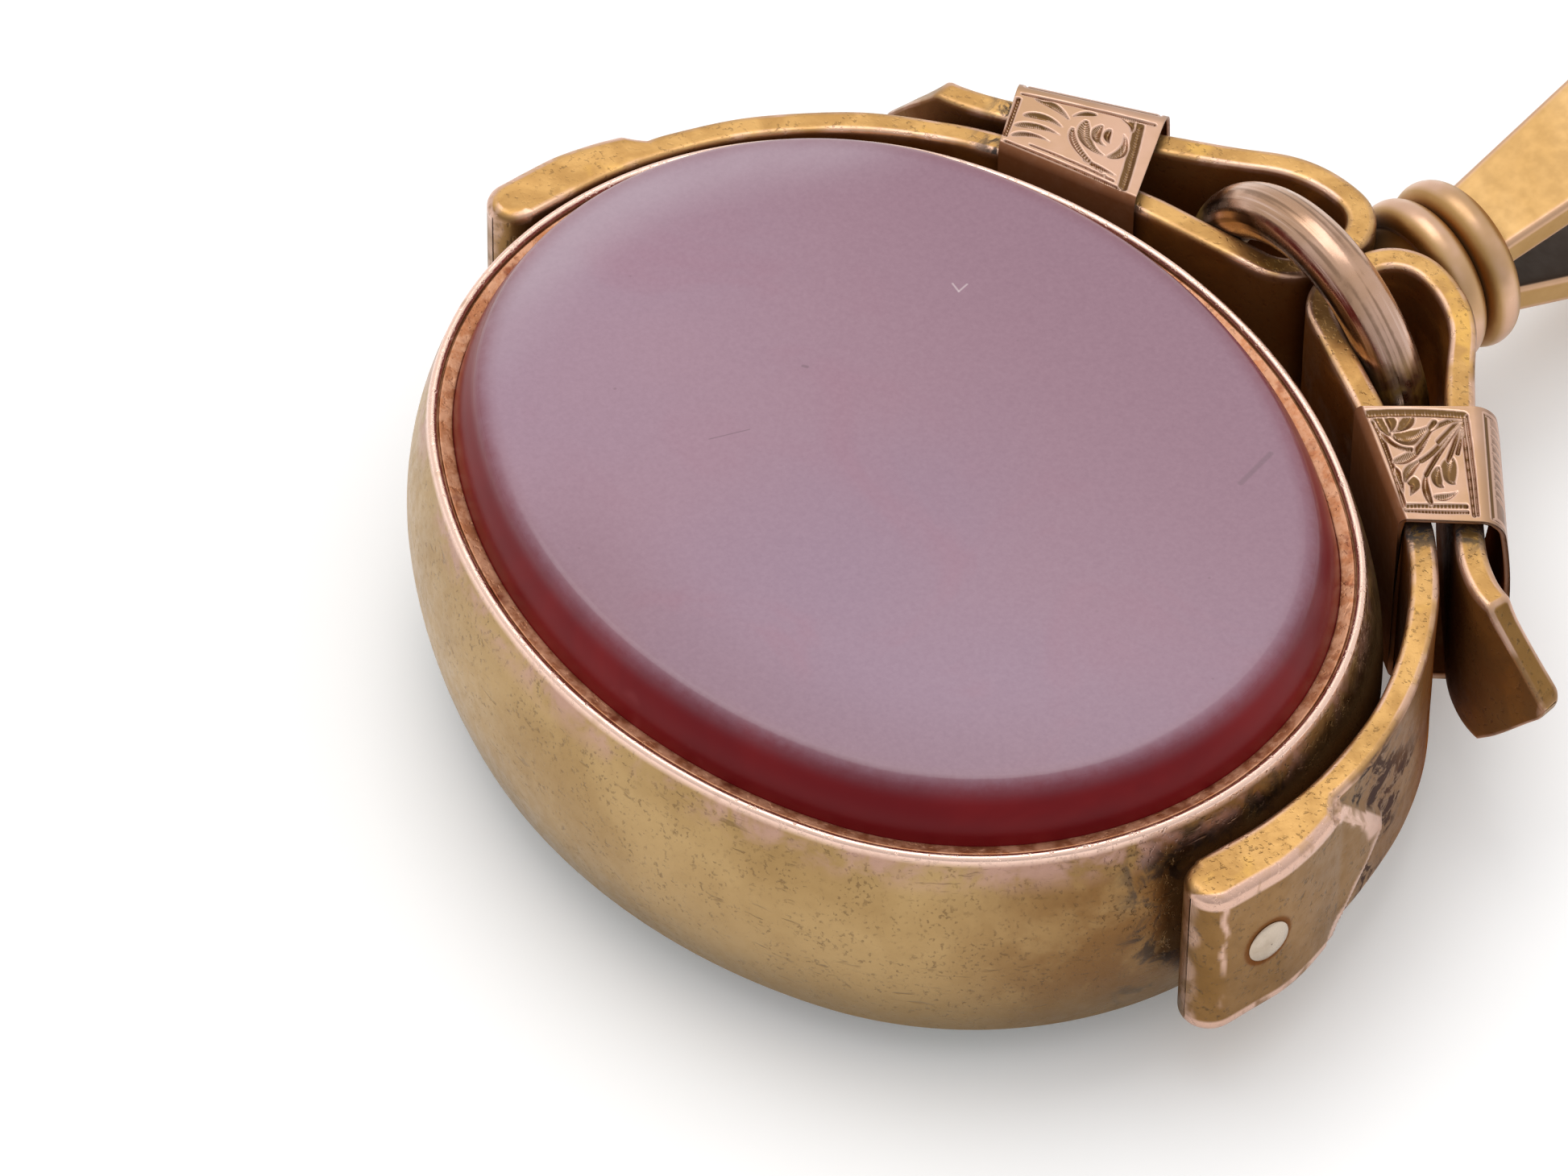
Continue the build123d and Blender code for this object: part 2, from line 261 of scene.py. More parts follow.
def spaced(line, step):
    """The same line with its points evenly spaced."""
    line = line[np.append(True, np.diff(travelled(line)) > 1e-6)]
    whole = travelled(line)[-1]
    return on_line(line, np.linspace(0, whole, int(whole / step) + 1))


def turned(profile, count):
    """Grid of points: a profile of (distance from the Y axis, place along it) turned about that axis."""
    (radius, along), angles = np.array(profile).T, np.arange(count)[:, None] * 2 * pi / count
    return np.stack([radius * np.cos(angles), along + 0 * angles, radius * np.sin(angles)], -1)


def lathe(profile, count, axis="y"):
    """Points and faces of a solid turned about Y, or X. Its profile starts and ends on the axis."""
    grid = turned(profile[1:-1], count)
    points = np.concatenate([grid.reshape(-1, 3), [(0, profile[0][1], 0), (0, profile[-1][1], 0)]])
    rows, columns = grid.shape[:2]
    faces = grid_faces(rows, columns, True, False)
    for r in range(rows):
        this, after = r * columns, (r + 1) % rows * columns
        faces.append([after, this, rows * columns])
        faces.append([this + columns - 1, after + columns - 1, rows * columns + 1])
    return points if axis == "y" else points[:, [1, 0, 2]], faces


# Oval

def around_oval(profile, count):
    """Grid of points: a profile of (distance outside the crest, height) carried round the four arcs."""
    end, side = (end_radius, 2 * join_angle), (side_radius, pi - 2 * join_angle)
    sectors = [(end_centre, 0, -join_angle, *end), (0, -side_centre, join_angle, *side),
               (-end_centre, 0, pi - join_angle, *end), (0, side_centre, pi + join_angle, *side)]
    length = sum(radius * sweep for *_, radius, sweep in sectors)
    rows = []
    for x, y, start, radius, sweep in sectors:
        number = round(count * radius * sweep / length)
        for angle in start + sweep * np.arange(number) / number:
            rows.append([(x + cos(angle) * (radius + out), y + sin(angle) * (radius + out), high)
                         for out, high in profile])
    return np.array(rows)


def outside_crest(x, y):
    """How far places lie outside the crest's oval, seen from above."""
    x, y = np.abs(x), np.abs(y)
    at_end = (x > end_centre) & (np.arctan2(y, x - end_centre) < join_angle)
    return np.where(at_end, np.hypot(x - end_centre, y) - end_radius,
                    np.hypot(x, y + side_centre) - side_radius)


# Bezel

def bezel_profile():
    """Wall, rolled edge, fine groove, flat lip against the stone and hidden bore, the same for both faces."""
    roll = (rim_roll + roll_inside) / 2
    roll_side = half_height - roll
    bulge = wall_bulge - rim_roll
    wall_radius = (bulge**2 + roll_side**2) / (2 * bulge)
    wall_turn = atan2(roll_side, wall_radius - bulge)
    wall = arc((wall_bulge - wall_radius, 0), wall_radius, -wall_turn, wall_turn, 48)[1:-1]
    lip_inner = half_height - rim_drop
    lip_outer = lip_inner + lip_slope
    lip_start = -roll_inside - groove_width
    upper = arc((rim_roll - roll, roll_side), roll, radians(12), pi, 16)
    upper += arc((lip_start + groove_width / 2, lip_inner + groove_lift), groove_width / 2, 0, -pi, 5)
    outer = [(lip_start - inwards, lip_outer - down) for inwards, down in lip_outer_corner]
    inner = [(outwards - rim_width, lip_inner + up) for outwards, up in lip_inner_corner]
    upper += outer[:-1] + straight(outer[-1], inner[0], lip_step) + inner[1:]
    upper += [(-bore_inset, bore_top), (-bore_inset, ledge_height / 2)]
    upper += [(-bore_inset - ledge_width, ledge_height / 2)]
    return wall + upper + [(x, -z) for x, z in reversed(upper)]


def make_bezel(material):
    """Band with a bore for each pin, and marks for its rolled edge, its lip, the painted shade beside the
    pads and the painted reflection under the roll.
    """
    grid = around_oval(bezel_profile(), bezel_turns)
    piece = make_mesh("bezel_band", grid.reshape(-1, 3), grid_faces(*grid.shape[:2], True, True))
    for side in (1, -1):
        start, end = side * (half_length - pin_reach), side * (pad_inner + 1)
        radius = pin_shaft / 2 + pin_play
        points, faces = lathe([(0, start), (radius, start), (radius, end), (0, end)], bore_turns, "x")
        boolean(piece, make_mesh("bore_cutter", points, faces), "DIFFERENCE")
    x, y, z = places(piece).T
    out, past_end = outside_crest(x, y), np.abs(x) - half_length
    past_rim, past_top = np.abs(z) - half_height, z - half_height
    rolled = smooth(out, -0.112, -0.092) * smooth(past_rim, -0.2, -0.12)
    # Marks for the rolled edge, the lip, a painted reflection under the roll and painted shade beside the
    # pads
    store(piece, roll=rolled * np.where(z > 0, 1, smooth(-out, -0.02, 0.03)),
          lip=smooth(-out, 0.1, 0.12) * smooth(past_rim, -0.6, -0.4),
          under_roll=smooth(out, -0.02, 0.05) * smooth(past_top, -1.1, -0.3),
          near_pad=smooth(past_end, -2.6, 0.2),
          by_nose=smooth(np.abs(y), 3.0, 2.3) * smooth(past_end, -3, -2) * smooth(out, 0.1, 0.25))
    finish_piece(piece, "spinner", "bezel_gold", material, "bezel")


# Stones

def stone_profile(bend_start):
    """From the middle of the table outwards over its soft edge and down the bevel to the girdle."""
    rim_edge, rim_level = bend_start + bevel_width, half_height - rim_drop
    slope = atan2(table_height - rim_level, bevel_width)
    table_end = bend_start - table_round * tan(slope / 2)
    crown = arc((table_end, table_height - table_round), table_round, pi / 2, pi / 2 - slope, 15)
    bevel = straight(crown[-1], (rim_edge, rim_level), 0.09)[1:]
    swell = bevel_swell * np.sin(pi * np.linspace(0, 1, len(bevel)))
    bevel = [(x + 0.9 * s, z + 0.4 * s) for (x, z), s in zip(bevel, swell)]
    flat = [(x, table_height) for x in np.linspace(table_core - end_radius, table_end, 41)[:-1]]
    girdle = -bore_inset - stone_clearance
    return flat + crown + bevel + [(girdle, bore_top), (girdle, ledge_height / 2)]


def make_stone(name, node, side, slot, material):
    """Stone of one face, and marks for its table and the paler and clearer parts of the table's edge; the
    paler part is a painted reflection.
    """
    bend_start = -rim_width - rim_clearance - bevel_width
    profile = stone_profile(bend_start)
    grid = around_oval(profile, stone_turns)
    rows, columns = grid.shape[:2]
    faces = grid_faces(rows, columns, True, False)
    faces.append([r * columns for r in range(rows)])
    faces.append([r * columns + columns - 1 for r in reversed(range(rows))])
    piece = make_mesh(name, (grid * (1, 1, side)).reshape(-1, 3), faces)
    x, y = grid[..., 0], grid[..., 1]
    across, high = np.array(profile).T
    past_bend = across - bend_start
    store(piece, table=1 - smooth(past_bend + (table_height - high) * 0.45, -0.55, 0.52) + 0 * x,
          pale=smooth(past_bend, -2.4, -0.5) * smooth(x, -6.5, -9.5),
          thin=smooth(past_bend, -3.2, -0.4) * smooth(y, 3, -6) * smooth(x, -5, -1))
    finish_piece(piece, "spinner", slot, material, node)


# Straps

def strap_route(corners=strap_corners):
    """Corners of the strap's middle line, seen from above."""
    named = {"pad": pad_inner + half_strap, "middle": loop_gap / 2 + half_strap}
    nose_y = strap_thickness - pad_below_pin
    return np.array([(named[across] if across in named else across * half_length,
                      nose_y if along is None else along * half_width + layers * strap_thickness)
                     for across, along, layers, _ in corners])


def strap_line(step, corners):
    """Middle line of the strap as closely spaced points: straight runs joined by arcs."""
    route = strap_route(corners)
    line = [route[0]]
    for k in range(1, len(route) - 1):
        before, after = route[k] - route[k - 1], route[k + 1] - route[k]
        reach = corners[k][-1] * min(np.linalg.norm(before), np.linalg.norm(after))
        before, after = before / np.linalg.norm(before), after / np.linalg.norm(after)
        turn = np.arccos(np.clip(before @ after, -1, 1))
        radius = reach / tan(turn / 2)
        side = np.sign(before[0] * after[1] - before[1] * after[0])
        start = route[k] - before * reach
        arm = -radius * side * np.array([-before[1], before[0]])
        for angle in np.linspace(0, turn * side, max(3, int(radius * turn / step))):
            c, s = cos(angle), sin(angle)
            line.append(start - arm + np.array([c * arm[0] - s * arm[1], s * arm[0] + c * arm[1]]))
    line.append(route[-1])
    return spaced(np.array(line), step)


def strap_places(corners):
    """Points along the strap, closer over the pad and at the tip, with the way out and the distance run."""
    line = strap_line(0.01, corners)
    total = travelled(line)[-1]
    pad_run, tip_run, tip_end = pad_shoulder + pad_point + 0.5 - line[0][1], total - 1.2, total - 0.12
    pad_step, run_step, tip_step, half_step = 0.07, 0.11, 0.05, 0.02
    at = np.concatenate([np.arange(0, pad_run, pad_step), np.arange(pad_run, tip_run, run_step),
                         np.arange(tip_run, tip_end, tip_step), total - 0.12 * np.linspace(1, 0, 9) ** 1.5])
    ahead = on_line(line, at + half_step) - on_line(line, at - half_step)
    ahead /= np.linalg.norm(ahead, axis=1)[:, None]
    return on_line(line, at), np.column_stack([-ahead[:, 1], ahead[:, 0]]), at, total


def inside_point(y, z):
    """How far inside the pointed end of the pad's outer layer a place lies."""
    return ((pad_shoulder + pad_point - y) * half_tall - np.abs(z) * pad_point) / hypot(half_tall, pad_point)


def outer_layer(y, z):
    """Thickness of the pad's outer layer: thinned towards its pointed end, where its edges are worn soft."""
    share = np.clip((y - thinning_start) / (pad_shoulder - thinning_start), 0, 1)
    thinned = 1 - layer_thinning * share**1.4
    return strap_thickness * thinned * np.clip((inside_point(y, z) + 0.03) / 0.36, 0, 1)


# Columns of the strap's section, in order: top, outer side, bottom and inner side
bend_steps, top_steps, outer_steps, inner_steps = 7, 5, 48, 16
strap_columns = 4 * bend_steps + 2 * top_steps + outer_steps + inner_steps
side_middle = 2 * bend_steps + top_steps + (outer_steps - 1) / 2


def strap_section(inner, outer_at, tall, edge_in, edge_out, depth=None):
    """Closed section of the strap as (across, height)."""
    outer = outer_at(tall)
    shrink = min(1, 0.96 * (inner - outer) / (edge_in + edge_out), 0.9 * tall / max(edge_in, edge_out))
    edge_in, edge_out = edge_in * shrink, edge_out * shrink
    turn = np.linspace(0, pi / 2, bend_steps)
    across = np.concatenate([inner - edge_in * (1 - np.cos(turn)),
                             np.linspace(inner - edge_in, outer + edge_out, top_steps + 2)[1:-1],
                             outer + edge_out * (1 - np.cos(turn[::-1]))])
    top = np.concatenate([tall - edge_in + edge_in * np.sin(turn), np.full(top_steps, tall),
                          tall - edge_out + edge_out * np.sin(turn[::-1])])
    if depth:
        top = np.minimum(top, depth(across, tall))
    side = np.linspace(top[-1], -top[-1], outer_steps + 2)[1:-1]
    back = np.linspace(-top[0], top[0], inner_steps + 2)[1:-1]
    return np.column_stack([
        np.concatenate([across, [outer_at(h) for h in side], across[::-1], np.full(inner_steps, inner)]),
        np.concatenate([top, side, -top[::-1], back])])


def make_strap(name, node, side, seed, material):
    """One folded ribbon: rounded nose, pad with its pointed outer layer, loop and pointed tail."""
    place, normal, along, total = strap_places(strap_corners if side > 0 else far_strap_corners)
    rows, marks = [], []

    # The nose is the fold of the pad, turned about its end
    for turn in np.concatenate([[0.025, 0.06], np.linspace(0.12, pi / 2, 15)[:-1]]):
        reach, drop = strap_thickness * sin(turn), strap_thickness * cos(turn)

        def rounded_top(across, tall):
            out = strap_thickness - np.hypot(across + half_strap, drop)
            return tall - pad_edge + np.sqrt(pad_edge**2 - np.clip(pad_edge - out, 0, pad_edge) ** 2)

        rows.append((place[0] - [0, drop], normal[0],
                     strap_section(reach - half_strap, lambda h: -half_strap - reach, half_tall,
                                   strap_edge, pad_edge, rounded_top)))
        marks.append(-drop)

    # The tail narrows to a rounded tip
    taper = tail_setback * 1.08
    lean = atan2(half_tall, taper)
    tip_middle = tail_tip / sin(lean)
    for point, across, s in zip(place, normal, along):
        left = total - s + tip_middle - tail_tip
        tall = min(half_tall, half_tall * left / taper)
        if left < tip_middle - tail_tip * sin(lean):
            tall = np.sqrt(max(tail_tip**2 - (tip_middle - left) ** 2, thinnest_tip**2))
        past_edge = max(0, strap_edge - (total - s))
        thin = half_strap - strap_edge + np.sqrt(max(strap_edge**2 - past_edge**2, 0))
        y = point[1] if s < 9 else 99.0
        past_pad = float(smooth(y, pad_shoulder - 0.5, pad_shoulder + 0.5))
        edge_out = pad_edge + (strap_edge - pad_edge) * past_pad
        rows.append((point, across, strap_section(thin, lambda h: -thin - float(outer_layer(y, h)), tall,
                                                  strap_edge, edge_out)))
        marks.append(s)

    grid = np.array([np.column_stack([point + across * section[:, :1], section[:, 1]])
                     for point, across, section in rows])
    first_of_last = (len(rows) - 1) * strap_columns
    faces = grid_faces(len(rows), strap_columns, False, True)
    faces.append(list(range(strap_columns)))
    faces.append(list(range(first_of_last, first_of_last + strap_columns))[::-1])
    points = grid.reshape(-1, 3)
    points[:, 0] *= side
    piece = make_mesh(name, points, faces)
    uneven(piece, strap_wave, strap_dent, seed, np.repeat(smooth(marks, -0.6, 0.2), strap_columns))
    # How far each point faces up, for painted light on the tops and painted shade on the side faces
    store(piece, upward=smooth(np.abs(normals(piece)[:, 2]), 0.55, 0.95),
          **strap_wear(np.array(marks), grid, seed))
    curvature(piece)
    finish_piece(piece, "yoke", "yellow_gold", material, node)


def strap_wear(marks, grid, seed):
    """Where the strap is worn bright, grimy and shaded, from the place along it and round its section."""
    past_side = np.abs(np.arange(strap_columns) - side_middle) - (outer_steps - 1) / 2
    outer, top_bend = (past_side <= 3).astype(float), (past_side >= 0) & (past_side <= 6)
    inner = (past_side >= 2 * bend_steps + top_steps - 1).astype(float)
    y, z = grid[..., 1], np.abs(grid[..., 2])
    stray = wander(grid.reshape(-1, 3), 1.1, seed + 5).reshape(y.shape)
    s = marks[:, None] + 0 * y
    on_pad = s < pad_shoulder + pad_point + pad_below_pin
    keeper_in, keeper_out, grime_end = 12.6, 31.8, 12
    inside = inside_point(y, z)
    from_edge = np.minimum(inside * 0.8, half_tall - z + 0.12) + 0.16 * stray
    worn = on_pad * np.maximum(outer * (inside > 0) * (1 - smooth(from_edge, 0.2, 0.3)),
                               top_bend * (inside > -0.05))
    streak = 1 - smooth(np.abs(s + 0.2 + 0.1 * stray), 0.03, 0.1)
    worn = np.maximum(worn, 0.6 * (1 - smooth(s + 0.06 * stray, -0.69, -0.62)))
    worn = np.maximum(worn, outer * streak * smooth(stray + grid[..., 2] * 0.5, -0.9, 0.1) * 0.9)
    grime = outer * smooth(-inside, 0.0, 0.12) * (1 - smooth(-inside, 0.9, 2.4)) * (s < grime_end)
    round_pin = on_pad * outer * (1 - smooth(np.abs(np.hypot(y, z) - pin_head / 2), 0.07, 0.2))
    mouths = np.maximum(smooth(s, 11.2, 12.3) * (s < keeper_in),
                        (1 - smooth(s, 32.1, 33.0)) * (s > keeper_out))
    tip = marks[-1]
    turned = tip - loop_to_tip
    shade_out = np.interp(s, [4.2, 5.0, 7.5, 9.5, turned, tip - 2.4, tip], [0, 0.25, 0.35, 1, 1, 0.75, 0.45])
    shade_in = np.interp(s, [-0.5, -0.1, 0.5, turned, turned + 1], [0.0, 0.7, 0.9, 0.9, 0.2])
    return {"worn": worn, "grime": np.maximum(grime, mouths * (1 - inner)),
            "shade": np.maximum(outer * shade_out + inner * shade_in, 0.8 * round_pin)}


# Keepers

def keeper_corners():
    """Plan corners of the sleeve: bail end inner and outer, tail end outer and inner."""
    route = strap_route()

    def run_point(first, share, slack):
        run = route[first + 1] - route[first]
        left = np.array([-run[1], run[0]]) / np.linalg.norm(run)
        return route[first] + run * share + left * (half_strap + slack + keeper_wall)

    return (run_point(keeper_inner_run, keeper_inner_span[1], keeper_slack),
            run_point(keeper_outer_run, keeper_outer_span[0], keeper_outer_slack),
            run_point(keeper_outer_run, keeper_outer_span[1], keeper_outer_slack),
            run_point(keeper_inner_run, keeper_inner_span[0], keeper_slack))


def cut_depth(along, across, leaves, lines=(), spread=0.78):
    """Depth of engraved strokes, 0 to 1, at points of a face given as shares of its two sides."""
    depth = np.zeros(along.shape)
    for k, stroke in enumerate([*leaves, *lines]):
        count, widen = leaf_cut if k < len(leaves) else line_cut
        a, b, c = np.array(stroke[:6]).reshape(3, 2) / 100
        width = widen * (stroke[6] / 1000)
        t = np.linspace(0, 1, count)[:, None]
        line = (1 - t) ** 2 * a + 2 * t * (1 - t) * b + t**2 * c
        swell = np.sin(pi * t[:, 0] ** 0.7) if k < len(leaves) else np.ones(count)
        for (u, v), grow in zip(line, swell):
            distance = np.hypot(along - u, (across - v) * spread)
            share = np.clip(1.15 * (1 - distance / max(width * grow, 1e-3)), 0, 1)
            depth = np.maximum(depth, share * min(1, 0.5 + grow / 2))
    return depth


# Each stroke: start, bend and end in hundredths along (from the bail end) and across (from the inner side),
# and half its width in thousandths of the length. Leaves swell in their middle and lines don't
near_leaves = [
    (8, 8, 20, 8, 27, 17, 51), (7, 42, 18, 35, 23, 17, 45), (26, 18, 34, 35, 15, 60, 63),
    (49, 7, 49, 30, 26, 55, 39), (67, 13, 54, 22, 45, 45, 39), (88, 39, 71, 31, 56, 44, 39),
    (68, 17, 63, 33, 80, 13, 54), (53, 58, 68, 45, 71, 59, 51), (45, 74, 63, 60, 68, 73, 69),
    (79, 43, 82, 58, 74, 75, 30), (54, 8, 63, 10, 78, 7, 33), (9, 18, 15, 23, 23, 16, 45),
]
near_lines = [
    (23, 8, 37, 11, 38, 32, 17), (48, 39, 39, 62, 10, 89, 17), (60, 41, 47, 55, 12, 89, 17),
    (10, 88, 12, 75, 20, 57, 17), (10, 89, 21, 75, 31, 62, 16), (12, 89, 28, 82, 47, 69, 17),
    (14, 89, 28, 86, 41, 80, 16), (7, 0, 4, 44, 8, 90, 29), (14, 4, 41, 8, 88, 2, 20),
    (8, 89, 52, 90, 94, 91, 20), (8, 93, 52, 96, 94, 96, 13), (88, 4, 87, 43, 87, 82, 17),
    (92, 2, 93, 41, 92, 83, 13), (14, 62, 28, 48, 40, 37, 20),
]
far_leaves = [
    (49, 80, 51, 39, 28, 35, 48), (28, 35, 13, 47, 23, 74, 36), (38, 78, 45, 53, 31, 49, 36),
    (32, 75, 35, 61, 29, 54, 26), (56, 64, 58, 27, 15, 4, 30), (43, 20, 31, 17, 16, 14, 22),
    (90, 58, 78, 73, 62, 56, 42), (94, 35, 81, 53, 63, 44, 38), (86, 93, 73, 94, 59, 70, 38),
    (94, 15, 84, 36, 67, 28, 28), (28, 95, 16, 92, 19, 77, 30), (44, 90, 52, 91, 59, 79, 26),
]
far_lines = [
    (96, 2, 55, 4, 12, 0, 13), (79, 12, 49, 12, 19, 7, 10), (15, 89, 12, 48, 11, 4, 30),
    (97, 87, 97, 50, 98, 12, 14), (95, 97, 51, 98, 6, 95, 12),
]
hatching = [(6 + 7.5 * k, edge, 13 + 7.5 * k, edge + 14, 20 + 7.5 * k, edge + 28, 20)
            for edge in (6, 36, 66) for k in range(10)]


def sleeve_layout(top, tall):
    """Round the sleeve's section: face, upper or lower half, place on the face and direction it faces."""
    wide_bend, tight_bend = np.arange(1, 24) / 24, np.arange(1, 6) / 6
    runs = [("flat", 1, np.linspace(0, 1, top)), ("outer bend", 1, wide_bend),
            ("side", 1, np.linspace(0, 1, tall)), ("outer bend", -1, wide_bend),
            ("flat", -1, np.linspace(1, 0, top)), ("inner bend", -1, tight_bend),
            ("inner", 1, np.linspace(0, 1, tall // 4)), ("inner bend", 1, tight_bend)]
    counts = [len(places) for _, _, places in runs]
    face, level = (np.repeat([run[k] for run in runs], counts) for k in (0, 1))
    place = np.concatenate([places for _, _, places in runs])
    quarter = pi / 2
    above = level > 0
    facing = np.select([face == "flat", face == "outer bend", face == "side", face == "inner"],
                       [level * quarter, quarter * (above - place), 0 * place, 0 * place + pi],
                       quarter * (3 * above - 1 - place))
    return face, level, place, facing


def sleeve(inset, layout, shares):
    """Grid of points of a sleeve set in from the outer surface, at shares of its length from the bail end."""
    face, level, t, facing = layout
    a_in, a_out, c_out, d_in = keeper_corners()
    z = keeper_half_tall - inset
    ri, ro = max(0.05, keeper_edge - inset), max(0.1, keeper_outer_edge - inset)
    p_in, p_out = (a + (b - a) * shares[:, None] for a, b in ((a_in, d_in), (a_out, c_out)))
    width = np.linalg.norm(p_out - p_in, axis=1)[:, None]
    across = (p_out - p_in) / width
    width = width - 2 * inset
    kinds = [face == kind for kind in ("flat", "outer bend", "side", "inner")]
    w = np.select(kinds, [ri + (width - ri - ro) * t, width - ro + ro * np.cos(facing), width + 0 * t,
                          0 * width * t], ri + ri * np.cos(facing))
    h = np.select(kinds, [level * z, level * (z - ro) + ro * np.sin(facing), (z - ro) * (1 - 2 * t),
                          (z - ri) * (2 * t - 1)], level * (z - ri) + ri * np.sin(facing))
    crown = keeper_crown * np.maximum(0, 1 - (h / keeper_half_tall) ** 2) * np.maximum(0, w / width * 2 - 1)
    plan = (p_in + across * inset)[:, None] + across[:, None] * (w + crown)[..., None]
    return np.dstack([plan, h + 0 * w])


def bridge(outer_ring, inner_ring):
    """Faces between two closed rings of points that start beside each other."""
    faces = []
    n, m = len(outer_ring), len(inner_ring)
    i = j = 0
    while i < n or j < m:
        if j >= m or (i < n and (i + 1) / n <= (j + 1) / m):
            faces.append([outer_ring[i % n], outer_ring[(i + 1) % n], inner_ring[j % m]])
            i += 1
        else:
            faces.append([outer_ring[i % n], inner_ring[(j + 1) % m], inner_ring[j % m]])
            j += 1
    return faces


def make_keeper(name, node, side, leaves, lines, material):
    """Sleeve with soft corners, a rounded outer side and engraved faces."""
    rows, inner_rows, set_back = 150, 30, 0.012
    layout = sleeve_layout(110, 90)
    face, level, place, facing = layout
    shares = np.linspace(0, 1, rows)
    outer = sleeve(0, layout, shares)
    inner = sleeve(keeper_wall, sleeve_layout(24, 24), np.linspace(set_back, 1 - set_back, inner_rows))

    # The side's hatching runs on over its two bends
    flats, wrapped = face == "flat", (face == "side") | (face == "outer bend")
    round_side = np.where(face == "side", bend_share + (1 - 2 * bend_share) * place,
                          np.where(level > 0, bend_share * place, 1 - bend_share * (1 - place)))
    depth = np.zeros(outer.shape[:2])
    depth[:, flats] = cut_depth(*np.meshgrid(shares, place[flats], indexing="ij"), leaves, lines)
    s, t = np.meshgrid(shares, round_side[wrapped], indexing="ij")
    edge = np.minimum(np.minimum(s, 1 - s), np.minimum(t, 1 - t))
    border = np.clip(1 - np.abs(edge - border_inset) / border_wide, 0, 1)
    depth[:, wrapped] = np.maximum(cut_depth(s, t, hatching, spread=1.7), 0.5 * border)
    a_in, a_out, c_out, _ = keeper_corners()
    side_in = np.array([a_out[1] - c_out[1], c_out[0] - a_out[0]]) / np.linalg.norm(c_out - a_out)
    side_in *= np.sign(side_in @ (a_in - a_out))
    inwards = np.column_stack([np.outer(np.cos(facing), side_in), -np.sin(facing)])
    outer += inwards * depth[..., None] * cut_deep

    columns, inner_columns = outer.shape[1], inner.shape[1]
    points = np.concatenate([outer.reshape(-1, 3), inner.reshape(-1, 3)])
    first, last = rows * columns, len(points)
    faces = grid_faces(rows, columns, False, True)
    faces += [quad[::-1] for quad in grid_faces(inner_rows, inner_columns, False, True, first)]
    faces += bridge(range(columns), range(first, first + inner_columns))
    far_end = bridge(range(first - columns, first), range(last - inner_columns, last))
    faces += [face[::-1] for face in far_end]
    piece = make_mesh(name, points * (side, 1, 1), faces)
    # Marks for painted shade towards the oval, inside the sleeve and on the rounded outer side
    towards_oval = np.tile(np.isin(face, ["inner", "inner bend"]) * 0.9, rows)
    from_bend = smooth(np.minimum(round_side, 1 - round_side), 0.01, 0.08)
    outside = np.tile(np.where(wrapped, from_bend, 0.0), rows)
    hidden = np.zeros(last - first)
    store(piece, cut=np.append(depth, hidden), inside=np.append(towards_oval, hidden + 1),
          outside=np.append(outside, hidden))
    curvature(piece)
    finish_piece(piece, "yoke", "rose_gold", material, node)


# Ring, pins and bail

def make_ring(material):
    """Round wire, a little uneven inside, and marks for its streaks and where it goes through the loops."""
    seat = strap_route()[loop_run][1] + ring_seat
    middle = table_height - ring_wire / 2
    section = arc((middle, seat), ring_wire / 2, 0, 2 * pi, ring_sides + 1)[:-1]
    points = turned(section, ring_turns).reshape(-1, 3)
    radial = points * [1, 0, 1]
    radius = np.linalg.norm(radial, axis=1)[:, None]
    points += radial / radius * (ring_dent * wander(points, ring_wave, 5))[:, None] * (radius < middle)
    piece = make_mesh("ring_wire", points, grid_faces(ring_turns, ring_sides, True, True))
    turn, around = np.indices((ring_turns, ring_sides)).reshape(2, -1) * 2 * pi / [[ring_turns], [ring_sides]]
    along = 0.12 * np.column_stack([np.cos(turn), np.sin(turn)])
    circle = np.column_stack([np.cos(around), np.sin(around), along[:, 0]]) + along[:, [1, 1, 0]] * 0.5
    store(piece, streak=wander(circle, 0.22, 8), ends=smooth(np.abs(points[:, 2]), 2.7, 1.6))
    finish_piece(piece, "yoke", "rose_gold", material, "ring")


def make_pin(name, node, side, material):
    """Pin with a low domed head, as one turned piece."""
    inside = half_length - bore_inset - ledge_width + pin_inlet
    head, top, seated = pin_head / 2, pad_outer + pin_head_height, pad_outer - pin_sunk
    profile = [(0, inside), (pin_shaft / 2, inside), (pin_shaft / 2, seated), (head * 0.98, seated)]
    profile += [(head, pad_outer + pin_sunk / 2)]
    profile += [(head * share, top - (pin_head_height - pin_sunk) * share**dome_power)
                for share in np.linspace(0.995, 0.04, 22)]
    points, faces = lathe(profile + [(0, top)], pin_turns, "x")
    piece = make_mesh(name, points * (side, 1, 1), faces)
    finish_piece(piece, "yoke", "white_gold", material, node)


def bail_path(root_y, end_y, root_radius, tip_radius):
    """Pear-shaped closed line in the YZ plane, at evenly spaced points."""
    lean = radians(bail_half_angle)
    half = arc((-root_y, 0), root_radius, 0, pi / 2 - lean, 20)
    half = [(-y, z) for y, z in half] + arc((end_y, 0), tip_radius, pi / 2 + lean, 0, 60)
    whole = np.array(half + [(y, -z) for y, z in reversed(half[:-1])])
    return spaced(whole, travelled(whole)[-1] / bail_turns)[:-1]


def rounded_section(half_wide, half_high):
    """Rounded rectangle as (across, height) points, anticlockwise."""
    x, z = half_wide - bail_edge, half_high - bail_edge
    bends = [arc(centre, bail_edge, k * pi / 2, (k + 1) * pi / 2, 7)
             for k, centre in enumerate([(x, z), (-x, z), (-x, -z), (x, -z)])]
    section = []
    for bend, after, steps in zip(bends, bends[1:] + bends[:1], (16, 5, 16, 5)):
        section += bend + np.linspace(bend[-1], after[0], steps + 1)[1:-1].tolist()
    return np.array(section)


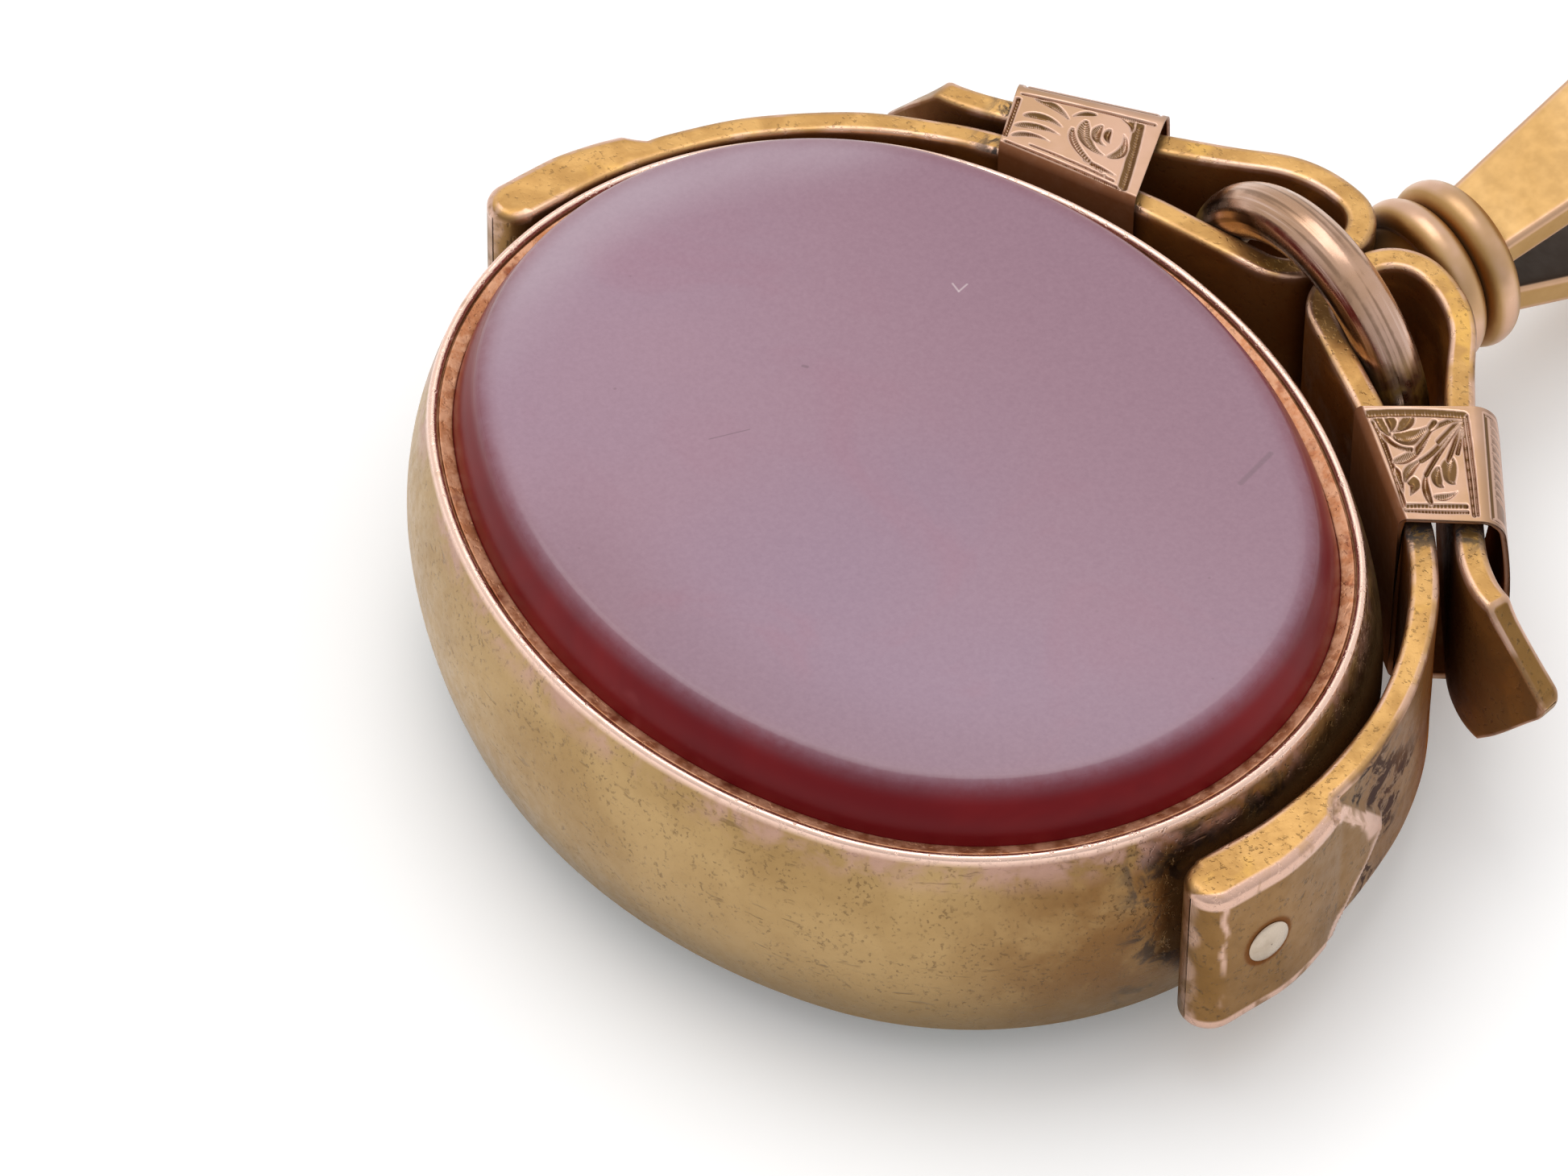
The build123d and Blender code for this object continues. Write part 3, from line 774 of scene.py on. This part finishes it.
def make_bail(material):
    """Foot, two beads and a pear-shaped band, joined, and marks for beads, valleys and the band's inside."""
    loop_top = strap_route()[loop_run + 1][1] + half_strap
    bead = bead_width / 2
    foot = bead_diameter / 2 - bead
    foot_start = loop_top - foot_depth
    first_bead = loop_top + collar_gap + bead
    collar_end = first_bead + bead_width + bead
    root_y = collar_end + bail_root_gap
    end_y = root_y + (bail_end_radius - bail_root_radius) / sin(radians(bail_half_angle))
    profile = [(0, foot_start), (foot * 0.5, foot_start), (foot, foot_start + 0.05)]
    profile.append((foot, first_bead - bead + 0.02))
    bead_turn = 84
    for middle, end in ((first_bead, bead_turn), (first_bead + bead_width, 90)):
        profile += arc((foot, middle), bead, radians(-bead_turn), radians(end), 22)
    profile += [(foot * 0.7, collar_end), (foot * 0.35, collar_end), (0, collar_end)]
    piece = make_mesh("bail_loop", *lathe(profile, collar_turns))

    half_thick = bail_thickness / 2
    path = bail_path(root_y, end_y, bail_root_radius + half_thick, bail_end_radius + half_thick)
    ahead = np.roll(path, -1, 0) - np.roll(path, 1, 0)
    ahead /= np.linalg.norm(ahead, axis=1)[:, None]
    root_start = root_y - bail_root_radius - bail_thickness
    widest_y = root_start + (bail_width - bail_root_width) / 2 / tan(radians(bail_flare))
    tip_y = end_y + bail_end_radius + bail_thickness
    rings = []
    for (y, z), (ahead_y, ahead_z) in zip(path, ahead):
        width = np.interp(y, [root_start, widest_y, tip_y], [bail_root_width, bail_width, bail_end_width])
        across, out = rounded_section(width / 2, half_thick).T
        rings.append(np.column_stack([across, y - ahead_z * out, z + ahead_y * out]))
    grid = np.array(rings)
    band = make_mesh("band", grid.reshape(-1, 3), grid_faces(*grid.shape[:2], True, True))
    boolean(piece, band, "UNION")

    x, y, z = places(piece).T
    reach = (np.hypot(x, z) - foot) / bead
    on_collar = smooth(y, foot_start, foot_start + 0.1) * (y < first_bead + 1.5 * bead_width + 0.05)
    apart = np.hypot(y[:, None] - path[:, 0], z[:, None] - path[:, 1])
    nearest, middle_y = path[apart.argmin(1)], end_y - 0.2 * (end_y - root_y)
    inner_side = np.hypot(y - middle_y, z) < np.hypot(nearest[:, 0] - middle_y, nearest[:, 1])
    within = (y > root_y - bail_root_radius) & (apart.min(1) > 0.9 * half_thick) & inner_side
    # Marks for the painted highlights on the bead crests, the painted reflection in the valleys and the
    # painted shade inside the band
    store(piece, crest=on_collar * smooth(reach, 0.82, 0.99),
          valley=on_collar * (1 - smooth(reach, 0.5, 0.97)), within=within * (1 - on_collar))
    curvature(piece)
    finish_piece(piece, "yoke", "yellow_gold", material, "bail")


# Materials. Colours are linear light
# The first colour is near black, for dirt with painted shade in recesses
dark_dirt_and_shade, white, warm_tint = (0.02, 0.014, 0.01), (1.0, 1.0, 1.0), (0.3, 0.1, 0.03)


class Term:
    """A number or colour that varies over the surface. Arithmetic with it adds nodes to its tree."""

    def __init__(self, tree, socket):
        self.tree, self.socket = tree, socket

    def math(self, operation, a, b):
        return self.tree.node("Math", 0, {0: a, 1: b}, operation=operation)

    def __add__(self, other):
        return self.math("ADD", self, other)

    def __sub__(self, other):
        return self.math("SUBTRACT", self, other)

    def __rsub__(self, other):
        return self.math("SUBTRACT", other, self)

    def __mul__(self, other):
        return self.math("MULTIPLY", self, other)

    def __or__(self, other):
        """The larger of the two."""
        return self.math("MAXIMUM", self, other)

    def ramp(self, low, high, out_low=0.0, out_high=1.0):
        """Soft step between two values."""
        return self.tree.node("MapRange", "Result", {"Value": self, "From Min": low, "From Max": high,
                              "To Min": out_low, "To Max": out_high}, interpolation_type="SMOOTHSTEP")


class Tree:
    """Nodes of a material or of the world, built by short calls."""

    def __init__(self, owner):
        owner.use_nodes = True
        self.nodes, self.links = owner.node_tree.nodes, owner.node_tree.links

    def node(self, kind, output, inputs=None, **settings):
        """Add a node, feed its inputs and return one of its outputs."""
        node = self.nodes.new("ShaderNode" + kind)
        for key, value in settings.items():
            setattr(node, key, value)
        for key, value in (inputs or {}).items():
            self.feed(node.inputs[key], value)
        return Term(self, node.outputs[output])

    def feed(self, socket, value):
        if isinstance(value, Term):
            self.links.new(value.socket, socket)
        else:
            socket.default_value = (*value, 1.0) if socket.type == "RGBA" else value


class Shader(Tree):
    """A material on the standard surface, with the colour that it has so far."""

    def __init__(self, name):
        self.material = bpy.data.materials.new(name)
        super().__init__(self.material)
        self.surface = self.nodes["Principled BSDF"]
        self.place = self.node("TexCoord", "Object")
        self.colour = None

    def stretched(self, stretch):
        return self.node("Mapping", "Vector", {"Vector": self.place, "Scale": stretch})

    def noise(self, scale, detail=4.0, roughness=0.55, distortion=0.0, stretch=None):
        place = self.stretched(stretch) if stretch else self.place
        return self.node("TexNoise", "Fac", {"Vector": place, "Scale": scale, "Detail": detail,
                                             "Roughness": roughness, "Distortion": distortion})

    def cells(self, scale):
        return self.node("TexVoronoi", "Distance", {"Vector": self.place, "Scale": scale})

    def attribute(self, name):
        return self.node("Attribute", "Fac", attribute_name=name)

    def axis(self, name):
        return self.node("SeparateXYZ", name, {0: self.place})

    def recess(self, distance):
        return self.node("AmbientOcclusion", "AO", {"Distance": distance * mm}, samples=6)

    def mix(self, share, a, b):
        return self.node("Mix", 2, {0: share, 6: a, 7: b}, data_type="RGBA")

    def paint(self, share, colour):
        """Cover a share of the colour so far with another."""
        self.colour = self.mix(share, self.colour, colour)

    def vector(self, operation, output, **inputs):
        """Vector arithmetic: a and b are its vectors and scale its number."""
        keys = {"a": 0, "b": 1, "scale": "Scale"}
        return self.node("VectorMath", output, {keys[k]: v for k, v in inputs.items()}, operation=operation)

    def scratch(self, start, end, half_wide):
        """1 on a straight mark between two places of the table, in millimetres, fading to 0 beside it."""
        start, end = (to_frame((*place, 0)) * (1, 1, 0) for place in (start, end))
        run = end - start
        away = self.vector("SUBTRACT", "Vector", a=self.stretched((1.0, 1.0, 0.0)), b=tuple(start))
        share = self.vector("DOT_PRODUCT", "Value", a=away, b=tuple(run))
        share = self.node("MapRange", "Result", {"Value": share, "From Max": float(run @ run)})
        on_mark = self.vector("SCALE", "Vector", a=tuple(run), scale=share)
        beside = self.vector("SUBTRACT", "Vector", a=away, b=on_mark)
        return self.vector("LENGTH", "Value", a=beside).ramp(half_wide * mm, half_wide * 0.3 * mm)

    def finish(self, bumps, **values):
        """Feed the surface's sockets and return the material. A bump is (height, strength, depth in mm)."""
        normal = {}
        for height, strength, distance in bumps:
            normal = {"Normal": self.node("Bump", "Normal", {"Strength": strength, "Distance": distance * mm,
                                                             "Height": height, **normal})}
        for key, value in {"Base Color": self.colour, **normal, **values}.items():
            name = {"level": "Specular IOR Level", "tint": "Specular Tint"}.get(key, key)
            self.feed(self.surface.inputs[name], value)
        return self.material


def rivet_material():
    """Pale gold with darker patches, few specks, fine scratches, and dirt with painted shade where the head
    meets the pad.
    """
    s = Shader("rivet_gold")
    fine = s.noise(2400, 5, 0.65)
    patch = s.noise(260, 3, 0.6, 0.6) * 0.7 + fine * 0.3
    s.colour = s.mix(patch.ramp(0.45, 0.62), (0.54, 0.45, 0.36), (0.46, 0.37, 0.28))
    speck = s.cells(2600).ramp(0.16, 0.06) * s.noise(900, 2).ramp(0.5, 0.62)
    s.paint(speck * 0.1, (0.10, 0.06, 0.025))
    # Dirt and painted shade where the head meets the pad: warm brown, then near black where most hidden
    recess = s.recess(1.0) + fine * 0.25
    s.paint(recess.ramp(0.98, 0.7) * 0.6, (0.42, 0.20, 0.05))
    dirt_and_shade = recess.ramp(0.62, 0.22) * 0.6
    s.paint(dirt_and_shade, dark_dirt_and_shade)
    scratches = s.noise(5200, 2, 0.5, 0.0, (1.0, 0.12, 1.0))
    return s.finish([(fine, 0.35, 0.012), (scratches, 0.2, 0.006), (1.0 - speck, 0.5, 0.02)], Metallic=1.0,
                    Roughness=fine.ramp(0.3, 0.7, 0.23, 0.38) + dirt_and_shade * 0.35)


def ring_material():
    """Polished rose gold with long dark streaks and pale streaks as painted highlights, yellow and brown dirt
    where it goes through the loops, and dirt with painted shade in its recesses.
    """
    s = Shader("ring_gold")
    fine, streak = s.noise(2400, 5, 0.65), s.attribute("streak")
    s.colour = s.mix(s.noise(420, 3).ramp(0.35, 0.65), (0.58, 0.38, 0.29), (0.46, 0.28, 0.18))
    s.paint((streak + fine * 0.8).ramp(0.45, 1.0) * 0.7, (0.20, 0.115, 0.07))
    # Painted highlights: pale pink streaks along the wire
    s.paint(streak.ramp(-0.4, -0.9) * 0.6, (0.75, 0.54, 0.45))
    ends = s.attribute("ends") * s.noise(1200, 4, 0.6, 0.4).ramp(0.32, 0.56)
    s.paint(ends, s.mix(fine.ramp(0.35, 0.6), (0.30, 0.15, 0.03), (0.56, 0.34, 0.09)))
    # Dirt and painted shade in recesses, from how hidden each point is
    dirt_and_shade = (s.recess(1.0) + fine * 0.25).ramp(0.66, 0.25)
    s.paint(dirt_and_shade, (0.04, 0.014, 0.005))
    return s.finish([(streak, 0.25, 0.02), (fine, 0.3, 0.01)], Metallic=1.0 - dirt_and_shade * 0.6,
                    level=dirt_and_shade.ramp(0.0, 0.8, 0.5, 0.05), tint=s.mix(dirt_and_shade, white, warm_tint),
                    Roughness=fine.ramp(0.3, 0.7, 0.18, 0.3) + (ends | dirt_and_shade) * 0.25)


def bezel_material():
    """Satin speckled wall with painted shade beside the pads and towards the bottom, a painted reflection
    under the roll, dirt with painted shade in recesses, a rough brown lip against the stone and a worn pink
    rolled edge with a painted highlight.
    """
    s = Shader("bezel_gold")
    fine, patchy, lip = s.noise(2600, 5, 0.65), s.noise(700, 4, 0.6, 0.4), s.attribute("lip")
    s.colour = s.mix(s.noise(240, 3, 0.55, 0.5).ramp(0.34, 0.7), (0.46, 0.305, 0.138), (0.36, 0.225, 0.092))
    # Painted shade: the wall darker beside each pad
    s.paint(s.attribute("near_pad") * patchy.ramp(0.3, 0.6, 0.55, 1.0), (0.21, 0.105, 0.036))
    # Painted shade: near black on the wall beside each pad's nose
    blacked = s.attribute("by_nose") * s.noise(1300, 4, 0.65, 0.6).ramp(0.46, 0.6)
    s.paint(blacked * 0.75, (0.04, 0.034, 0.034))
    small = s.noise(8500, 3, 0.6).ramp(0.56, 0.68) * s.noise(1100, 4).ramp(0.4, 0.6, 0.25, 1.0)
    long = s.noise(4200, 2, 0.5, 0.6, (0.35, 0.35, 1.6)).ramp(0.62, 0.7)
    long = long * s.noise(800, 2, 0.5, 0.0, (0.5, 0.5, 1.4)).ramp(0.5, 0.62)
    speck = small | long
    s.paint(speck * 0.5, (0.14, 0.08, 0.035))
    # Painted shade: the wall darker towards the bottom
    s.paint(s.axis("Z").ramp(0.0034, 0.0014, 0.0, 0.55), (0.24, 0.15, 0.055))
    # Painted reflection: a purplish band on the wall just under the rolled edge
    s.paint(s.attribute("under_roll") * patchy.ramp(0.42, 0.6) * 0.75, (0.50, 0.30, 0.25))
    crust = s.mix(fine.ramp(0.38, 0.62), (0.50, 0.21, 0.10), (0.70, 0.39, 0.24))
    s.paint(lip, s.mix(s.noise(1500, 3).ramp(0.55, 0.72), crust, (0.30, 0.09, 0.045)))
    # Worn pink rolled edge, with a painted highlight along it
    bright = s.attribute("roll") * s.noise(1100, 3).ramp(0.28, 0.42, 0.55, 1.0)
    s.paint(bright, (0.86, 0.60, 0.49))
    # Dirt and painted shade in recesses, from how hidden each point is
    dirt_and_shade = (s.recess(1.0) + fine * 0.25).ramp(0.6, 0.2) * (1.0 - lip * 0.93)
    s.paint(dirt_and_shade, (0.14, 0.05, 0.013))
    return s.finish([(fine, 0.4, 0.012), (s.noise(1900, 3) * lip, 0.6, 0.05), (1.0 - speck, 0.6, 0.02)],
                    Metallic=1.0 - dirt_and_shade * 0.95, level=dirt_and_shade.ramp(0.0, 0.8, 0.5, 0.0),
                    Roughness=fine.ramp(0.3, 0.7, 0.3, 0.44) + lip * 0.18 - bright * 0.1 + dirt_and_shade * 0.3)


def bail_material():
    """Satin gold: a painted orange brown reflection between the beads, painted highlights on their crests
    with pink wear on ridges, painted shade inside the loop and dirt with painted shade in recesses.
    """
    s = Shader("bail_gold")
    fine = s.noise(2400, 5, 0.65)
    s.colour = s.mix(s.noise(320, 4, 0.6, 0.5).ramp(0.35, 0.68), (0.52, 0.325, 0.138), (0.44, 0.26, 0.095))
    # Painted reflection: orange brown in the valleys between the beads
    s.paint(s.attribute("valley") * fine.ramp(0.2, 0.5, 0.8, 1.0), (0.33, 0.14, 0.03))
    # Painted highlights on the bead crests, and pink wear on sharp ridges
    crest = s.attribute("crest") * s.noise(500, 3).ramp(0.35, 0.55, 0.35, 0.85)
    s.paint(crest | s.attribute("ridge").ramp(1.5, 5.0) * 0.6, (0.68, 0.43, 0.31))
    # Painted shade inside the loop, and dirt with painted shade in recesses
    dull_shade_and_dirt = s.attribute("within") | s.recess(0.8).ramp(0.55, 0.2) * 0.8
    s.paint(dull_shade_and_dirt, (0.05, 0.026, 0.012))
    return s.finish([(fine, 0.35, 0.012)], Metallic=1.0 - dull_shade_and_dirt * 0.6,
                    Roughness=fine.ramp(0.3, 0.7, 0.38, 0.48) + dull_shade_and_dirt * 0.15 - crest * 0.14)


def keeper_material():
    """Engraved rose gold: olive brown cuts, pink ridges and rims, painted shade on the outer side, inside and
    towards the oval, and dirt with painted shade in recesses.
    """
    s = Shader("engraved_rose_gold")
    fine, cut = s.noise(2600, 5, 0.65), s.attribute("cut")
    s.colour = s.mix(s.noise(420, 3).ramp(0.35, 0.65), (0.56, 0.35, 0.25), (0.48, 0.29, 0.17))
    s.paint(cut.ramp(0.03, 0.25) * 0.95, (0.20, 0.105, 0.036))
    # Painted shade: the rounded outer side darker than the top, with streaks
    rubbed = s.noise(1500, 3, 0.6, 0.0, (0.3, 0.3, 1.6)).ramp(0.35, 0.65)
    side = s.mix(rubbed, (0.20, 0.12, 0.085), (0.34, 0.215, 0.16))
    s.paint(s.attribute("outside") * 0.9, s.mix(cut.ramp(0.03, 0.3), side, (0.11, 0.065, 0.036)))
    s.paint(s.attribute("ridge").ramp(1.5, 8.0) * 0.6, (0.74, 0.50, 0.40))
    # Painted shade inside the sleeve and on the faces towards the oval
    inside = s.attribute("inside") * fine.ramp(0.2, 0.6, 0.9, 1.0)
    s.paint(inside, (0.15, 0.045, 0.011))
    # Dirt and painted shade in recesses, from how hidden each point is
    dirt_and_shade = (s.recess(0.5) + fine * 0.2).ramp(0.5, 0.2)
    s.paint(dirt_and_shade, dark_dirt_and_shade)
    return s.finish([(fine, 0.3, 0.01)], Metallic=1.0 - inside, level=inside.ramp(0.0, 0.8, 0.5, 0.0),
                    tint=s.mix(inside.ramp(0.1, 0.7), white, warm_tint),
                    Roughness=fine.ramp(0.3, 0.7, 0.3, 0.42) + (dirt_and_shade | inside) * 0.25)


def strap_material():
    """Aged yellow gold: painted shade where the straps face each other and the oval and on faces turned
    sideways, lighter tops as painted light, dirt with painted shade in recesses, pink where edges are worn.
    """
    s = Shader("strap_gold")
    broad, fine, patchy = s.noise(300, 4, 0.6, 0.6), s.noise(2400, 5, 0.65), s.noise(800, 4, 0.6, 0.5)
    upward = s.attribute("upward")
    # Painted light and shade: faces turned up get a lighter colour, side faces a darker one
    top = s.mix(patchy.ramp(0.38, 0.62), (0.60, 0.35, 0.125), (0.46, 0.255, 0.085))
    top = s.mix(s.noise(520, 3, 0.6).ramp(0.6, 0.7), top, (0.62, 0.36, 0.10))
    face = s.mix(broad.ramp(0.35, 0.65), (0.29, 0.158, 0.056), (0.21, 0.108, 0.032))
    s.colour = s.mix(upward, face, top)
    speck = s.noise(7000, 3, 0.6).ramp(0.55, 0.68) * s.noise(1000, 3).ramp(0.38, 0.58, 0.2, 1.0)
    s.paint(speck * upward.ramp(0.0, 1.0, 0.65, 0.35), (0.10, 0.058, 0.025))
    worn = s.attribute("worn") * patchy.ramp(0.36, 0.5, 0.15, 1.0)
    wear = worn | s.attribute("ridge").ramp(1.4, 4.5) * s.noise(600, 3).ramp(0.42, 0.6, 0.1, 0.8)
    s.paint(wear, (0.68, 0.44, 0.34))
    grime = s.attribute("grime") * s.noise(1500, 5, 0.7, 0.8, (1.0, 0.6, 1.0)).ramp(0.45, 0.56)
    s.paint(grime, (0.05, 0.048, 0.05))
    shade = s.attribute("shade") * patchy.ramp(0.3, 0.65, 1.0, 0.82)
    s.paint(shade, s.mix(broad.ramp(0.5, 0.7), (0.15, 0.042, 0.009), (0.34, 0.12, 0.024)))
    # Dirt and painted shade in recesses, from how hidden each point is
    dirt_and_shade = (s.recess(1.2) + patchy * 0.3).ramp(0.72, 0.3)
    s.paint(dirt_and_shade * 0.9, (0.055, 0.018, 0.005))
    # Dull where painted shade, dirt or grime cover the gold
    dull_shade_and_dirt = shade * 0.92 | (dirt_and_shade * 0.92 | grime)
    scratches = s.noise(5200, 2, 0.5, 0.0, (1.0, 0.12, 1.0))
    return s.finish([(fine, 0.4, 0.014), (scratches, 0.2, 0.006), (1.0 - speck, 0.5, 0.02)],
                    Metallic=1.0 - dull_shade_and_dirt, level=dull_shade_and_dirt.ramp(0.0, 0.8, 0.5, 0.0),
                    tint=s.mix((shade | dirt_and_shade).ramp(0.1, 0.7), white, warm_tint),
                    Roughness=fine.ramp(0.3, 0.7, 0.34, 0.48) - wear * 0.12 + (shade | grime) * 0.2)


def stone_material(name, deep, bright, sheen_and_haze_tone, red_specks=0.0, marks=()):
    """Polished stone: the worn table has a pale hazy polish with a painted sheen over it, lighter and darker
    across it as a painted reflection, and the bevel shows the deep colour.
    """
    def shift_sheen_and_haze(share, *tone):
        return s.mix(share, sheen_and_haze, tuple(np.multiply(sheen_and_haze_tone, tone)))

    s = Shader(name)
    table = s.attribute("table")
    body = s.mix(s.noise(160, 4, 0.6, 0.8).ramp(0.35, 0.7), deep, bright)
    if red_specks:
        body = s.mix(s.noise(900, 3, 0.6).ramp(0.66, 0.72) * red_specks, body, (0.25, 0.01, 0.01))
    vein = s.noise(420, 3, 0.5, 1.5, (1.0, 0.35, 1.0)).ramp(0.63, 0.72) * s.noise(130, 2).ramp(0.52, 0.64)
    body = s.mix(vein * 0.1, body, (0.45, 0.12, 0.12))
    # The table's pale cover: a hazy worn polish with a painted sheen
    sheen_and_haze = sheen_and_haze_tone
    sheen_and_haze = shift_sheen_and_haze(s.noise(90, 2).ramp(0.3, 0.7), 0.9, 0.98, 1.06)
    # Painted reflection: the cover lighter towards the end at negative X
    sheen_and_haze = shift_sheen_and_haze(s.axis("X").ramp(0.002, -0.011, 0.0, 0.35), 1.3, 1.45, 1.4)
    sheen_and_haze = shift_sheen_and_haze(s.noise(170, 3, 0.6, 1.2).ramp(0.52, 0.72, 0.0, 0.4), 1.02, 0.8, 0.88)
    # Painted reflection: the cover darker towards positive Y
    sheen_and_haze = shift_sheen_and_haze(s.axis("Y").ramp(-0.0135, -0.001), 0.82, 0.74, 0.79)
    sheen_and_haze = shift_sheen_and_haze(s.attribute("thin") * 0.35, 0.55, 0.36, 0.38)
    # Painted reflection: a pale glow near the table's edge at the negative X end
    glow = s.attribute("pale") * s.noise(500, 3, 0.6, 0.0, (1.0, 0.3, 1.0)).ramp(0.3, 0.7, 0.45, 0.8)
    sheen_and_haze = shift_sheen_and_haze(glow, 1.35, 1.85, 1.65)
    sheen_and_haze = s.mix(0.12, sheen_and_haze, s.mix(s.noise(9000, 2), (0.1, 0.06, 0.08), (0.6, 0.45, 0.5)))
    pits = s.cells(1500).ramp(0.09, 0.04) * s.noise(700, 1).ramp(0.62, 0.7)
    sheen_and_haze = s.mix(pits * 0.5, sheen_and_haze, (0.12, 0.05, 0.06))
    for start, end, half_wide, tone, strength in marks:
        sheen_and_haze = s.mix(s.scratch(start, end, half_wide) * strength, sheen_and_haze, tone)
    edge = table.ramp(0.0, 0.5) * table.ramp(1.0, 0.5)
    cover = table + edge * ((s.noise(2600, 4, 0.7) - 0.5) * 0.5)
    s.colour = s.mix(cover, body, sheen_and_haze)
    return s.finish([(s.noise(3000, 3), 0.05, 0.004)], IOR=1.54, level=table.ramp(0.1, 0.9, 0.12, 0.5),
                    Roughness=table.ramp(0.2, 0.9, 0.3, 0.16))


# Scene

def make_floor(size=1.2):
    mesh = bpy.data.meshes.new("floor")
    corners = [(-size, -size, 0), (size, -size, 0), (size, size, 0), (-size, size, 0)]
    mesh.from_pydata(corners, [], [(0, 1, 2, 3)])
    floor = add("floor", mesh)
    s = Shader("pale_floor")
    s.colour = s.mix(s.noise(60, 3), (0.93, 0.93, 0.93), (0.96, 0.96, 0.96))
    s.surface.inputs["Emission Color"].default_value = (*white, 1.0)
    s.surface.inputs["Emission Strength"].default_value = 0.12
    mesh.materials.append(s.finish([], Roughness=0.9))


def make_camera():
    """Camera where the photograph was taken from: turned, tipped and set back from the oval's middle."""
    azimuth, elevation, roll = radians(52.27), radians(47.52), radians(0.87)
    distance, side_shift, up_shift = 261.5, 2.526, 0.311
    image_width, focal_pixels, sensor = 1946, 13866, 36.0
    forward = Vector((-sin(azimuth) * cos(elevation), cos(azimuth) * cos(elevation), -sin(elevation)))
    right = Vector((cos(azimuth), sin(azimuth), 0))
    up = right.cross(forward)
    right, up = cos(roll) * right + sin(roll) * up, cos(roll) * up - sin(roll) * right
    place = -side_shift * right - up_shift * up - distance * forward
    data = bpy.data.cameras.new("camera")
    data.sensor_width = sensor
    data.lens = focal_pixels / image_width * sensor
    data.clip_start, data.clip_end = 0.01, 10
    camera = add("camera", data)
    turn = Matrix((right, up, -forward)).transposed().to_4x4()
    camera.matrix_world = Matrix.Translation(oval_middle + place * mm) @ turn
    bpy.context.scene.camera = camera


def make_light():
    """A white tent, darker on the camera's side, and one large soft panel high up behind."""
    bright_side = (-0.534, 0.413, 0.7375)
    world = bpy.data.worlds.new("tent")
    bpy.context.scene.world = world
    t = Tree(world)
    tent = t.nodes["Background"]
    along = t.node("VectorMath", "Value", {0: t.node("TexCoord", "Generated"), 1: bright_side},
                   operation="DOT_PRODUCT")
    half = t.node("Math", 0, {0: along, 1: 0.5, 2: 0.5}, operation="MULTIPLY_ADD")
    tone = t.node("ValToRGB", "Color", {"Fac": half})
    stops = tone.socket.node.color_ramp.elements
    stops[0].position, stops[0].color = 0.15, (0.5, 0.5, 0.52, 1)
    stops[1].position, stops[1].color = 0.8, (1.0, 0.99, 0.98, 1)
    t.feed(tent.inputs["Color"], tone)
    tent.inputs["Strength"].default_value = 1.0
    panel = bpy.data.lights.new("panel", "AREA")
    panel.shape, panel.energy = "RECTANGLE", 0.9
    panel.size, panel.size_y = 0.4, 0.4
    light, direction = add("panel", panel), Vector((-0.35, 0.1, 1.0)).normalized()
    light.location = direction * 0.6
    light.rotation_euler = direction.to_track_quat("Z", "Y").to_euler()
    bpy.context.scene.view_settings.view_transform = "Standard"


strap_gold, rivet_gold, engraved_gold = strap_material(), rivet_material(), keeper_material()
pale, dark = (0.62, 0.50, 0.52), (0.13, 0.07, 0.09)
table_marks = [
    ((5.57, 5.78), (5.25, 6.92), 0.1, dark, 0.42),
    ((-3.46, 4.35), (-3.17, 4.31), 0.035, pale, 0.6),
    ((-3.17, 4.31), (-3.24, 4.61), 0.035, pale, 0.6),
    ((-2.85, -3.24), (-2.54, -2.30), 0.022, dark, 0.5),
    ((-3.42, -0.08), (-3.34, -0.02), 0.06, dark, 0.5),
]
# The third colour of each stone is its table's hazy polish with a painted sheen
carnelian = stone_material("carnelian", (0.13, 0.005, 0.008), (0.18, 0.008, 0.010), (0.31, 0.168, 0.222),
                           marks=table_marks)
bloodstone = stone_material("bloodstone", (0.008, 0.03, 0.02), (0.02, 0.06, 0.035), (0.12, 0.17, 0.15), 0.8)

make_bezel(bezel_material())
make_stone("front_stone", "stone_front", 1, "carnelian", carnelian)
make_stone("back_stone", "stone_back", -1, "bloodstone", bloodstone)
make_strap("right_strap", "strap_right", 1, 11, strap_gold)
make_strap("left_strap", "strap_left", -1, 12, strap_gold)
make_keeper("right_keeper", "keeper_right", 1, near_leaves, near_lines, engraved_gold)
make_keeper("left_keeper", "keeper_left", -1, far_leaves, far_lines, engraved_gold)
make_ring(ring_material())
make_pin("right_pin", "pin_right", 1, rivet_gold)
make_pin("left_pin", "pin_left", -1, rivet_gold)
make_bail(bail_material())
make_floor()
make_camera()
make_light()
